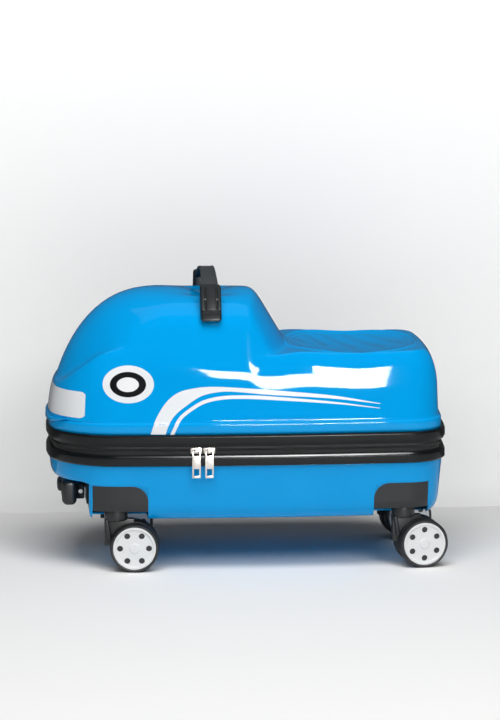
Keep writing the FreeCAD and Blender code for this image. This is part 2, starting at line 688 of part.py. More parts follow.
def polygon_sketch(body, name, role, corners):
    """A closed polygon; each corner is a pair of expressions."""
    sketch = body.newObject("Sketcher::SketchObject", name)
    sketch.AttachmentSupport = [(origin_plane(body, role), "")]
    sketch.MapMode = "FlatFace"
    places = [V(worth(x), worth(y), 0) for x, y in corners]
    count = len(corners)
    for index in range(count):
        sketch.addGeometry(Part.LineSegment(places[index], places[(index + 1) % count]), False)
    for index in range(count):
        sketch.addConstraint(Sketcher.Constraint("Coincident", index, 2, (index + 1) % count, 1))
    for index, corner in enumerate(corners):
        for kind, axis, text, now in (("DistanceX", -2, corner[0], places[index].x),
                                      ("DistanceY", -1, corner[1], places[index].y)):
            if text == "0":
                sketch.addConstraint(Sketcher.Constraint("PointOnObject", index, 1, axis))
                continue
            number = sketch.addConstraint(Sketcher.Constraint(kind, -1, 1, index, 1, now))
            sketch.setExpression(f"Constraints[{number}]", bound(text))
    return sketch


def turned_body(label, corners):
    """A body turned about its Y axis from a half section."""
    body = doc.addObject("PartDesign::Body", label)
    sketch = polygon_sketch(body, f"{label}_section", "XY_Plane", corners)
    turn = body.newObject("PartDesign::Revolution", f"{label}_turn")
    turn.Profile = sketch
    turn.ReferenceAxis = (sketch, ["V_Axis"])
    turn.Angle = 360
    return body


def tyre(label, place):
    """A tyre with chamfered shoulders and a seat for the disc's lip."""
    rim = "wheel_radius - tyre_depth"
    lip = "wheel_radius - tyre_depth + disc_lip"
    body = turned_body(label, [
        (rim, "disc_thickness"), (lip, "disc_thickness"), (lip, "0"), ("wheel_radius - tyre_shoulder", "0"),
        ("wheel_radius", "tyre_shoulder"), ("wheel_radius", "wheel_width - tyre_shoulder"),
        ("wheel_radius - tyre_shoulder", "wheel_width"), (rim, "wheel_width")])
    body.Placement = place
    return node(label, body)


def hub(label, place):
    """A wheel hub with its disc, its ring of holes and its bore."""
    rim = "wheel_radius - tyre_depth"
    lip = "wheel_radius - tyre_depth + disc_lip"
    bore = "axle_radius + running_fit"
    body = turned_body(label, [
        ("0", "0"), (lip, "0"), (lip, "disc_thickness"), (rim, "disc_thickness"), (rim, "wheel_width"),
        (bore, "wheel_width"), (bore, "hub_cap_thickness"), ("0", "hub_cap_thickness")])
    hole = body.newObject("Sketcher::SketchObject", f"{label}_hole")
    hole.AttachmentSupport = [(origin_plane(body, "XZ_Plane"), "")]
    hole.MapMode = "FlatFace"
    hole.addGeometry(Part.Circle(V(size("disc_hole_circle"), 0, 0), Z_AXIS, size("disc_hole_radius")), False)
    hole.addConstraint(Sketcher.Constraint("PointOnObject", 0, 3, -1))
    number = hole.addConstraint(Sketcher.Constraint("DistanceX", -1, 1, 0, 3, size("disc_hole_circle")))
    hole.setExpression(f"Constraints[{number}]", bound("disc_hole_circle"))
    number = hole.addConstraint(Sketcher.Constraint("Radius", 0, size("disc_hole_radius")))
    hole.setExpression(f"Constraints[{number}]", bound("disc_hole_radius"))
    doc.recompute()
    before = body.Shape.Volume
    pocket = body.newObject("PartDesign::Pocket", f"{label}_pocket")
    pocket.Profile = hole
    pocket.setExpression("Length", bound("disc_hole_depth"))
    doc.recompute()
    if pocket.Shape.isNull() or abs(pocket.Shape.Volume - before) < 1:
        pocket.Reversed = True
        doc.recompute()
    pattern = body.newObject("PartDesign::PolarPattern", f"{label}_ring")
    pattern.Originals = [pocket]
    pattern.Axis = ([f for f in body.Origin.OriginFeatures if f.Role == "Y_Axis"][0], [""])
    pattern.Angle = 360
    pattern.setExpression("Occurrences", bound("disc_hole_count"))
    body.Tip = pattern
    body.Placement = place
    return node(label, body)


FORK_TOP = "housing_low - swivel_clearance"


def fork(label, place):
    """A caster fork: head on the kingpin, web between the wheels, front rib, bores."""
    body = doc.addObject("PartDesign::Body", label)

    def add(kind, name, sizes, base, turn=None):
        made = body.newObject(f"PartDesign::{kind}", f"{label}_{name}")
        for prop, text in sizes.items():
            made.setExpression(prop, bound(text))
        made.Placement = FreeCAD.Placement(V(0, 0, 0), turn or FreeCAD.Rotation())
        for axis, text in zip("xyz", base):
            made.setExpression(f"Placement.Base.{axis}", bound(text))
        return made

    add("AdditiveCylinder", "head", {"Radius": "fork_cap_radius", "Height": f"{FORK_TOP} - fork_cap_low"},
        ("0", "0", "fork_cap_low"))
    add("AdditiveBox", "web",
        {"Length": "fork_cap_radius + trail", "Width": "fork_web",
         "Height": "fork_cap_low + overrun - wheel_radius"},
        ("-fork_cap_radius", "-fork_web / 2", "wheel_radius"))
    add("AdditiveBox", "shin",
        {"Length": "fork_shin_depth", "Width": "fork_shin_width",
         "Height": "fork_cap_low + overrun - fork_shin_low"},
        ("-fork_cap_radius + fork_shin_inset", "-fork_shin_width / 2", "fork_shin_low"))
    add("AdditiveCylinder", "boss", {"Radius": "fork_boss_radius", "Height": "fork_web"},
        ("trail", "-fork_web / 2", "wheel_radius"), ALONG_Y)
    add("SubtractiveCylinder", "pin_bore", {"Radius": "pin_radius + running_fit", "Height": "housing_high"},
        ("0", "0", "fork_cap_low"))
    add("SubtractiveCylinder", "head_bore",
        {"Radius": "pin_head_radius + swivel_clearance", "Height": "pin_head_height + swivel_clearance"},
        ("0", "0", "fork_cap_low"))
    add("SubtractiveCylinder", "axle_bore", {"Radius": "axle_radius", "Height": "fork_web"},
        ("trail", "-fork_web / 2", "wheel_radius"), ALONG_Y)
    body.Placement = place
    return node(label, body)


WHEEL_FACE = size("fork_web") / 2 + size("wheel_gap") + size("wheel_width")
SHELL_FACE = HALF_WIDTH - size("foot_inset") - size("belly_lean") - size("side_bow")
HOUSING_FACE = SHELL_FACE - size("housing_wall")
kingpins = []
housing_screws = []
for corner, pin in CASTERS.items():
    housing = housing_block(pin, size("housing_low")).common(lower_outside)
    pocket = housing_block(pin, 0, size("housing_wall")).common(lower_outside)
    boss = Part.makeCylinder(size("housing_boss"), size("housing_high") - size("housing_low"),
                             V(pin.x, pin.y, size("housing_low")))
    shaft = Part.makeCylinder(size("pin_radius"), size("housing_high") - size("fork_cap_low"),
                              V(pin.x, pin.y, size("fork_cap_low")))
    behind_face = block((-OUTSIDE, -HOUSING_FACE, 0), (OUTSIDE, HOUSING_FACE, OUTSIDE))
    housing = housing.cut(pocket.common(behind_face)).fuse(boss).removeSplitter()
    feature(f"housing_{corner}", housing.cut(shaft))
    head = Part.makeCylinder(size("pin_head_radius"), size("pin_head_height"),
                             V(pin.x, pin.y, size("fork_cap_low")))
    kingpins.append(shaft.fuse(head).removeSplitter())
    for along_x in (-1, 1):
        screw = Part.makeCylinder(size("screw_radius"), size("screw_height"),
                                  V(pin.x + along_x * (size("housing_boss") + size("screw_edge") / 2),
                                    math.copysign(size("housing_inner") + size("screw_edge"), pin.y),
                                    size("housing_high")))
        housing_screws.append(screw)
    fork(f"fork_{corner}", caster_place(pin, FreeCAD.Placement()))
    axle_end = V(size("trail"), -WHEEL_FACE + size("hub_cap_thickness"), size("wheel_radius"))
    axle_local = FreeCAD.Placement(axle_end, ALONG_Y)
    axle = doc.addObject("Part::Cylinder", f"axle_{corner}")
    axle.setExpression("Radius", bound("axle_radius"))
    axle.setExpression("Height", bound("fork_web + 2 * (wheel_gap + wheel_width - hub_cap_thickness)"))
    axle.Placement = caster_place(pin, axle_local)
    node(f"axle_{corner}", axle)
    outward = -1 if pin.y < 0 else 1
    for position, way in (("outer", outward), ("inner", -outward)):
        facing = FreeCAD.Rotation(Z_AXIS, 0 if way < 0 else 180)
        wheel_local = FreeCAD.Placement(V(size("trail"), way * WHEEL_FACE, size("wheel_radius")), facing)
        place = caster_place(pin, wheel_local)
        tyre(f"tyre_{corner}_{position}", place)
        hub(f"hub_{corner}_{position}", place)
feature("kingpins", Part.Compound(kingpins))
feature("housing_screws", Part.Compound(housing_screws))

# Trolley handle: three stages of tube, bezel, rear bracket, grip, push button and leg screws


def tube_pair(label, width, height, front, rear, hollow):
    """Two tubes, or two rods, side by side along X."""
    pair = []
    for hand, way in (("left", "-"), ("right", "")):
        bar = box(f"{label}_{hand}_bar", f"{rear} - ({front})", width, height,
                  (front, f"{way}tube_y - ({width}) / 2", f"tube_level - ({height}) / 2"))
        if hollow:
            bore = box(f"{label}_{hand}_bore", f"{rear} - ({front})", f"{width} - 2 * tube_wall",
                       f"{height} - 2 * tube_wall",
                       (front, f"{way}tube_y - ({width}) / 2 + tube_wall",
                        f"tube_level - ({height}) / 2 + tube_wall"))
            bar = cut(f"{label}_{hand}", bar, bore)
        pair.append(bar)
    return node(label, group(label, pair))


STAGE_STEP = "2 * (tube_wall + tube_clearance)"
MIDDLE_W = f"tube_width - {STAGE_STEP}"
MIDDLE_H = f"tube_height - {STAGE_STEP}"
ROD_W = f"tube_width - 2 * {STAGE_STEP}"
ROD_H = f"tube_height - 2 * {STAGE_STEP}"
WALL_X = "chin_depth - overall_length / 2"
TUBE_REAR = "overall_length / 2 - tube_rear_edge"
LEG_REAR = f"{WALL_X} - bezel_depth - grip_gap"
tube_pair("trolley_outer_tubes", "tube_width", "tube_height", f"{WALL_X} + shell_wall", TUBE_REAR, True)
tube_pair("trolley_middle_tubes", MIDDLE_W, MIDDLE_H, f"{WALL_X} - bezel_depth",
          f"{TUBE_REAR} - stage_gap", True)
tube_pair("trolley_inner_rods", ROD_W, ROD_H, f"{LEG_REAR} - rod_reach", f"{TUBE_REAR} - 2 * stage_gap",
          False)

bezel = box("bezel_plate", "bezel_depth", "2 * (grip_half + bezel_margin)", "bezel_height",
            (f"{WALL_X} - bezel_depth", "-grip_half - bezel_margin", "tube_level - bezel_height / 2"))
bezel = rounded("bezel_rounded", bezel, size("bezel_depth"), along(X_AXIS))
slots = []
for hand, way in (("left", "-"), ("right", "")):
    slots.append(box(f"bezel_slot_{hand}", "bezel_depth + 2 * overrun", f"{MIDDLE_W} + 2 * tube_clearance",
                     f"{MIDDLE_H} + 2 * tube_clearance",
                     (f"{WALL_X} - bezel_depth - overrun", f"{way}tube_y - ({MIDDLE_W}) / 2 - tube_clearance",
                      f"tube_level - ({MIDDLE_H}) / 2 - tube_clearance")))
node("trolley_bezel", cut("trolley_bezel", bezel, fuse("bezel_slots", slots)))

bracket = box("bracket_plate", "bracket_depth", "2 * tube_y + tube_width + 2 * bracket_margin",
              "tube_level + tube_height / 2 + bracket_margin - belly_level - shell_wall",
              (TUBE_REAR, "-tube_y - tube_width / 2 - bracket_margin", "belly_level + shell_wall"))
node("trolley_bracket", rounded("trolley_bracket", bracket, size("bracket_margin"), along(X_AXIS)))

bar = box("grip_bar", "grip_depth", "2 * grip_half", "grip_height",
          (f"{LEG_REAR} - leg_length - grip_depth", "-grip_half", "tube_level - grip_height / 2"))
bar = rounded("grip_bar_rounded", bar, size("grip_round"), lambda edge: True)
legs = []
sockets = []
screws = []
for hand, way in (("left", "-"), ("right", "")):
    legs.append(box(f"grip_leg_{hand}", "leg_length + grip_depth / 2", f"{ROD_W} + 2 * leg_margin",
                    f"{ROD_H} + 4 * leg_margin",
                    (f"{LEG_REAR} - leg_length - grip_depth / 2", f"{way}tube_y - ({ROD_W}) / 2 - leg_margin",
                     f"tube_level - ({ROD_H}) / 2 - 2 * leg_margin")))
    sockets.append(box(f"grip_socket_{hand}", "rod_reach", ROD_W, ROD_H,
                       (f"{LEG_REAR} - rod_reach", f"{way}tube_y - ({ROD_W}) / 2",
                        f"tube_level - ({ROD_H}) / 2")))
    face = f"{way}(tube_y + ({ROD_W}) / 2 + leg_margin)"
    start = f"{face} - grip_screw_proud" if way else f"{face} - grip_screw_depth"
    screws.append(cylinder(f"grip_screw_{hand}", "grip_screw_radius", "grip_screw_proud + grip_screw_depth",
                           (f"{LEG_REAR} - leg_length / 2", start, "tube_level"), ALONG_Y))
button_well = box("button_well", "button_root + button_stroke + overrun",
                  "2 * (button_half + button_clearance)", "button_height + 2 * button_clearance",
                  (f"{LEG_REAR} - leg_length - grip_depth - overrun", "-button_half - button_clearance",
                   "tube_level - button_height / 2 - button_clearance"))
wells = fuse("grip_wells", sockets + [button_well] + screws)
node("trolley_grip", cut("trolley_grip", fuse("grip_with_legs", [bar] + legs), wells))
node("grip_screws", group("grip_screws", screws))
button = box("button_block", "button_root + button_proud", "2 * button_half", "button_height",
             (f"{LEG_REAR} - leg_length - grip_depth - button_proud", "-button_half",
              "tube_level - button_height / 2"))
node("trolley_button", rounded("trolley_button", button, size("button_round"), along(X_AXIS)))

# Zip sliders and pull tabs, which follow the bowed left side


def side_y(x):
    """The left face of the rims at a place along the length."""
    return SIDE_RADIUS - HALF_WIDTH - math.sqrt(SIDE_RADIUS ** 2 - x ** 2)


def slider_place(x):
    """A placement on the rims' left face, turned to lie along it."""
    turn = math.degrees(math.asin(x / SIDE_RADIUS))
    return FreeCAD.Placement(V(x, side_y(x), ZIP_LEVEL), FreeCAD.Rotation(Z_AXIS, turn))


SLIDER_BACK = COIL_OUT - size("slider_clearance")
for position in ("front", "rear"):
    place = slider_place(size(f"slider_{position}_x"))
    body = block((-size("slider_width") / 2, size("slider_front_inset"), -size("slider_height") / 2),
                 (size("slider_width") / 2, SLIDER_BACK, size("slider_height") / 2))
    body = body.makeFillet(size("slider_front_inset") / 2, [e for e in body.Edges if along(Y_AXIS)(e)])
    loop_end = size("loop_width") / 2
    loop = block((-loop_end, -size("pull_proud") - size("loop_half"), -size("loop_half")),
                 (loop_end, size("slider_front_inset") + size("tape_thickness"), size("loop_half")))
    eye = Part.makeCylinder(size("pull_pin_radius") + size("running_fit"), size("loop_width"),
                            V(-loop_end, -size("pull_proud"), 0), X_AXIS)
    feature(f"zip_slider_{position}", body.fuse(loop).removeSplitter().cut(eye), place)

    half = size("pull_width") / 2
    thick = size("pull_thickness") / 2
    middle = -size("pull_proud")
    plate = block((-half, middle - thick, -size("pull_length")), (half, middle + thick, 0))
    corners = [e for e in plate.Edges if along(Y_AXIS)(e) and e.Vertexes[0].Z < -size("pull_neck")]
    plate = plate.makeFillet(size("pull_hole_edge") / 2, corners)
    window = size("pull_window") / 2
    upper = block((-window, middle - 2 * thick, -size("pull_neck")), (window, middle + 2 * thick, 2 * thick))
    lower_low = -size("pull_length") + size("pull_hole_edge")
    lower = block((-window, middle - 2 * thick, lower_low),
                  (window, middle + 2 * thick, lower_low + size("pull_hole_height")))
    pin = Part.makeCylinder(size("pull_pin_radius"), size("pull_width"), V(-half, middle, 0), X_AXIS)
    feature(f"zip_pull_{position}", plate.cut([upper, lower]).fuse(pin).removeSplitter(), place)

# Packing straps and buckle on the lower lining

STRAP_FLOOR = "chin_level + shell_wall + lining_clearance + lining_thickness"
halves = []
for hand, way in (("left", -1), ("right", 1)):
    start = "-packing_half" if way < 0 else "buckle_length / 2"
    halves.append(box(f"packing_strap_{hand}", "packing_width", "packing_half - buckle_length / 2",
                      "packing_thickness", ("packing_x - packing_width / 2", start, STRAP_FLOOR)))
node("packing_straps", group("packing_straps", halves))
buckle = box("buckle_block", "buckle_width", "buckle_length", "buckle_height",
             ("packing_x - buckle_width / 2", "-buckle_length / 2", STRAP_FLOOR))
node("strap_buckle", rounded("strap_buckle", buckle, size("packing_thickness"), along(Y_AXIS)))

# Recompute, test every object, then write the sub-parts

doc.recompute()
for obj in doc.Objects:
    if "Invalid" in obj.State or "Error" in obj.State:
        raise RuntimeError(f"{obj.Name} failed: {obj.State}")
os.makedirs("parts", exist_ok=True)
for label, obj in NODES.items():
    shape = obj.Shape
    if shape.isNull() or not shape.isValid():
        raise RuntimeError(f"{label} has no valid shape")
    shape.exportStep(f"parts/{label}.step")
    print(f"{label}: {len(shape.Solids)} solids, {shape.Volume:.1f} mm3")
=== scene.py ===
"""Dress the ride-on suitcase: glossy blue shells, black zip band, twin-wheel casters and carry strap."""

from __future__ import annotations

import logging
import math
from dataclasses import dataclass
from enum import Enum
from typing import Callable, Iterable, Sequence

import bmesh
import bpy
from mathutils import Matrix, Vector
from mathutils.bvhtree import BVHTree

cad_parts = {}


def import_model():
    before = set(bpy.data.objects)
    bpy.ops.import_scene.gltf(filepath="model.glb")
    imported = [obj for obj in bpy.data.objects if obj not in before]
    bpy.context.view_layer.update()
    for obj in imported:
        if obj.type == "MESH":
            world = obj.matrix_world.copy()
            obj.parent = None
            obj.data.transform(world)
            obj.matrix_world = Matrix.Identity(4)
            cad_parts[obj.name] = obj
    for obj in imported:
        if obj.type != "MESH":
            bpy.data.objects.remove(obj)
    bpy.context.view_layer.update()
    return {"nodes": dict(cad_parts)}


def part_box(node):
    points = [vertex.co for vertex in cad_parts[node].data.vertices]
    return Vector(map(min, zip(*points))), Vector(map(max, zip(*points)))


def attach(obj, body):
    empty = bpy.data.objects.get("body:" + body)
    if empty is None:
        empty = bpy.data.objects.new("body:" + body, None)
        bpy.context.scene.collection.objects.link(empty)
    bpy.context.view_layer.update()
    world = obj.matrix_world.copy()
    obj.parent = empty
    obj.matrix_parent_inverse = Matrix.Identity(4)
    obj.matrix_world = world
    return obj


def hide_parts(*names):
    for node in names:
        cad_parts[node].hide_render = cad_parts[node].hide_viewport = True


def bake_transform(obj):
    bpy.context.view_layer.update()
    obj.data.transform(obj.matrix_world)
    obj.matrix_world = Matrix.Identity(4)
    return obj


LOG = logging.getLogger("suitcase")
MM = 0.001
NEAR = -1.0
FAR = 1.0


class Corner(Enum):
    """The four casters, with the place of each kingpin as signs of X and Y."""

    FRONT_LEFT = ("front_left", -1, -1)
    FRONT_RIGHT = ("front_right", -1, 1)
    REAR_LEFT = ("rear_left", 1, -1)
    REAR_RIGHT = ("rear_right", 1, 1)

    @property
    def label(self) -> str:
        """Name of the corner in node and body names."""
        return self.value[0]


class Grain(Enum):
    """How the skin of a moulded piece was made: its size and depth in millimetres and its share of bump.

    A polished sheet keeps a faint orange peel from its pressing, a satin mould leaves a soft haze and a
    spark-eroded mould leaves pits. The last two are drawn coarser than life, since the real ones don't show.
    """

    POLISHED = (14.0, 0.02, 0.5)
    SATIN = (1.6, 0.02, 0.6)
    SPARKED = (0.9, 0.05, 0.8)


def linear(code: str) -> tuple[float, float, float, float]:
    """Turn an sRGB hex code into a linear colour.

    Args:
        code: six hex digits.

    Returns:
        Red, green, blue and an alpha of one.
    """
    channels = [int(code[i:i + 2], 16) / 255 for i in (0, 2, 4)]
    red, green, blue = [c / 12.92 if c <= 0.04045 else ((c + 0.055) / 1.055) ** 2.4 for c in channels]
    return red, green, blue, 1.0


def add_node(tree: bpy.types.NodeTree, kind: str, settings: dict | None = None,
             links: dict | None = None) -> bpy.types.Node:
    """Add one shader node.

    Args:
        tree: the material's node tree.
        kind: Blender's name of the node.
        settings: properties of the node, or values of its inputs, by name or index.
        links: sockets to join to its inputs, by name or index.

    Returns:
        The new node.
    """
    made = tree.nodes.new(kind)
    for key, value in (settings or {}).items():
        if isinstance(key, str) and key not in made.inputs:
            setattr(made, key, value)
        else:
            made.inputs[key].default_value = value
    for key, socket in (links or {}).items():
        tree.links.new(socket, made.inputs[key])
    return made


def per_mm(size: float) -> float:
    """Texture scale that gives a pattern of this size in millimetres on Object coordinates."""
    return 1.0 / (size * MM)


@dataclass(frozen=True)
class Finish:
    """A finish with one shader, whose colour, roughness and bump come from its nodes."""

    name: str
    colour: str
    roughness: float
    metallic: float = 0.0
    ior: float = 1.5
    gloss: float = 0.5

    def start(self) -> tuple[bpy.types.Material, bpy.types.NodeTree, bpy.types.Node, bpy.types.NodeSocket]:
        """Make the material with its plain shader.

        Returns:
            The material, its tree, its shader and the Object coordinate socket.
        """
        material = bpy.data.materials.new(self.name)
        material.use_nodes = True
        tree = material.node_tree
        shader = tree.nodes["Principled BSDF"]
        shader.inputs["Base Color"].default_value = linear(self.colour)
        shader.inputs["Roughness"].default_value = self.roughness
        shader.inputs["Metallic"].default_value = self.metallic
        shader.inputs["IOR"].default_value = self.ior
        shader.inputs["Specular IOR Level"].default_value = self.gloss
        place = add_node(tree, "ShaderNodeTexCoord").outputs["Object"]
        return material, tree, shader, place

    def vary(self, tree: bpy.types.NodeTree, shader: bpy.types.Node, factor: bpy.types.NodeSocket,
             other: str, spread: float) -> None:
        """Let a pattern drift the colour and the roughness.

        Args:
            tree: the material's node tree.
            shader: the shader to feed.
            factor: the pattern, from nought to one.
            other: hex code of the second colour.
            spread: how far the roughness rises and falls, or nought for an even one.
        """
        colours = {"data_type": "RGBA", 6: linear(self.colour), 7: linear(other)}
        mix = add_node(tree, "ShaderNodeMix", colours, {"Factor": factor})
        tree.links.new(mix.outputs[2], shader.inputs["Base Color"])
        if spread:
            limits = {"To Min": self.roughness - spread, "To Max": self.roughness + spread}
            rough = add_node(tree, "ShaderNodeMapRange", limits, {"Value": factor})
            tree.links.new(rough.outputs["Result"], shader.inputs["Roughness"])

    def emboss(self, tree: bpy.types.NodeTree, shader: bpy.types.Node, height: bpy.types.NodeSocket,
               depth: float, strength: float = 1.0) -> None:
        """Press a pattern into the surface.

        Args:
            tree: the material's node tree.
            shader: the shader to feed.
            height: the pattern, from nought to one.
            depth: height of the pattern in millimetres.
            strength: share of the bump that is used.
        """
        settings = {"Strength": strength, "Distance": depth * MM}
        bump = add_node(tree, "ShaderNodeBump", settings, {"Height": height})
        tree.links.new(bump.outputs["Normal"], shader.inputs["Normal"])


@dataclass(frozen=True)
class Moulded(Finish):
    """Injection-moulded or pressed plastic: its grain is that of the mould's own steel."""

    grain: Grain = Grain.SATIN
    shade: str = "000000"
    drift: float = 60.0
    haze: float = 0.22

    def build(self) -> bpy.types.Material:
        """Make the material from a slow drift of colour and the grain of the mould.

        Returns:
            The material.
        """
        size, depth, strength = self.grain.value
        material, tree, shader, place = self.start()
        slow = {"Scale": per_mm(self.drift), "Detail": 3.0}
        drift = add_node(tree, "ShaderNodeTexNoise", slow, {"Vector": place})
        self.vary(tree, shader, drift.outputs["Fac"], self.shade, self.roughness * self.haze)
        fine = {"Scale": per_mm(size), "Detail": 4.0}
        grain = add_node(tree, "ShaderNodeTexNoise", fine, {"Vector": place})
        self.emboss(tree, shader, grain.outputs["Fac"], depth, strength)
        return material


@dataclass(frozen=True)
class Metal(Finish):
    """Bare, plated or anodised metal with brushed lines, drawn coarser than life so that they show."""

    shade: str = "808080"
    stretch: tuple[float, float, float] = (1.0, 1.0, 1.0)
    line: float = 0.8

    def build(self) -> bpy.types.Material:
        """Make the material from noise that is drawn out along the brushing.

        Returns:
            The material.
        """
        material, tree, shader, place = self.start()
        drawn = add_node(tree, "ShaderNodeMapping", {"Scale": self.stretch}, {"Vector": place})
        lines = add_node(tree, "ShaderNodeTexNoise", {"Scale": per_mm(self.line), "Detail": 3.0},
                         {"Vector": drawn.outputs["Vector"]})
        self.vary(tree, shader, lines.outputs["Fac"], self.shade, self.roughness * 0.3)
        self.emboss(tree, shader, lines.outputs["Fac"], 0.01, 0.4)
        return material


@dataclass(frozen=True)
class Woven(Finish):
    """Woven polyester with a soft sheen; its threads are drawn coarser than life so that they show."""

    shade: str = "000000"
    thread: float = 1.0
    sheen: float = 0.3
    rise: float = 0.12

    def build(self) -> bpy.types.Material:
        """Make the material from waves across all three axes, so that threads show on every face.

        Returns:
            The material.
        """
        material, tree, shader, place = self.start()
        shader.inputs["Sheen Weight"].default_value = self.sheen
        shader.inputs["Sheen Roughness"].default_value = 0.5
        waves = []
        scale = per_mm(self.thread) * math.pi / 10
        for direction in ("X", "Z", "Y"):
            settings = {"Scale": scale, "Distortion": 0.4, "Detail": 1.0, "bands_direction": direction}
            waves.append(add_node(tree, "ShaderNodeTexWave", settings, {"Vector": place}).outputs["Fac"])
        across = add_node(tree, "ShaderNodeMath", {"operation": "MULTIPLY"}, {0: waves[0], 1: waves[1]})
        both = {0: across.outputs[0], 1: waves[2]}
        cloth = add_node(tree, "ShaderNodeMath", {"operation": "MAXIMUM"}, both)
        self.vary(tree, shader, cloth.outputs[0], self.shade, 0.08)
        self.emboss(tree, shader, cloth.outputs[0], self.rise)
        return material


@dataclass(frozen=True)
class Paper(Finish):
    """Matt painted wall above a matt floor of another shade, with a faint mottle."""

    wall: str = "FFFFFF"
    skirting: float = 30.0
    mottle: float = 30.0

    def build(self) -> bpy.types.Material:
        """Make the material, with the floor's shade below the skirting and the wall's above.

        Returns:
            The material.
        """
        material, tree, shader, place = self.start()
        settings = {"Scale": per_mm(self.mottle), "Detail": 5.0}
        mottle = add_node(tree, "ShaderNodeTexNoise", settings, {"Vector": place})
        height = add_node(tree, "ShaderNodeSeparateXYZ", {}, {"Vector": place}).outputs["Z"]
        rise = add_node(tree, "ShaderNodeMapRange", {"From Max": self.skirting * MM}, {"Value": height})
        self.vary(tree, shader, rise.outputs["Result"], self.wall, 0.0)
        self.emboss(tree, shader, mottle.outputs["Fac"], 0.3, 0.3)
        self.open_back(tree, shader)
        return material

    @staticmethod
    def open_back(tree: bpy.types.NodeTree, shader: bpy.types.Node) -> None:
        """Let the paint be seen from its front only, so that the room hides nothing from behind or below.

        Args:
            tree: the material's node tree.
            shader: the shader of the front.
        """
        back = add_node(tree, "ShaderNodeNewGeometry").outputs["Backfacing"]
        clear = add_node(tree, "ShaderNodeBsdfTransparent").outputs["BSDF"]
        mix = add_node(tree, "ShaderNodeMixShader", {}, {0: back, 1: shader.outputs["BSDF"], 2: clear})
        output = next(n for n in tree.nodes if n.type == "OUTPUT_MATERIAL")
        tree.links.new(mix.outputs["Shader"], output.inputs["Surface"])


def ease(value: float, start: float, end: float) -> float:
    """Smooth step from nought at start to one at end."""
    share = min(1.0, max(0.0, (value - start) / (end - start)))
    return share * share * (3 - 2 * share)


def soft_max(one: float, two: float, width: float) -> float:
    """The larger of two heights, with a fillet of this width where they cross."""
    return (one + two + math.sqrt((one - two) ** 2 + width ** 2)) / 2


def soft_ramp(distance: float, width: float) -> float:
    """Nought for a distance well above nought, and its depth below, rounded over the width."""
    return (math.sqrt(distance ** 2 + width ** 2) - distance) / 2


def roll_over(distance: float, radius: float, slope: float) -> float:
    """Drop of a rounded edge: an arc from the level, then a straight fall.

    Args:
        distance: how far out from where the arc starts.
        radius: radius of the arc.
        slope: fall of the straight per unit of distance.

    Returns:
        The drop.
    """
    turn = math.atan(slope)
    if distance < radius * math.sin(turn):
        return radius - math.sqrt(radius ** 2 - max(0.0, distance) ** 2)
    return radius * (1 - math.cos(turn)) + slope * (distance - radius * math.sin(turn))


@dataclass(frozen=True)
class Station:
    """One place on an outline: its point, its inward normal and the spine point it leads to."""

    point: Vector
    inward: Vector
    spine: Vector
    square: float = 30.0

    def at(self, inset: float, level: float) -> Vector:
        """Point of the rib at an inset and a level, in millimetres.

        The rib stays square to the outline up to a set inset, and then turns to the spine.

        Args:
            inset: distance along the rib from the outline.
            level: height.

        Returns:
            The point.
        """
        near = self.point + self.inward * min(inset, self.square)
        if inset > self.square:
            rest = self.spine - near
            near = near + rest * min(1.0, (inset - self.square) / rest.length)
        return Vector((near.x, near.y, level))

    def reach(self) -> float:
        """Inset at which the rib meets the spine."""
        return self.square + (self.spine - self.point - self.inward * self.square).length


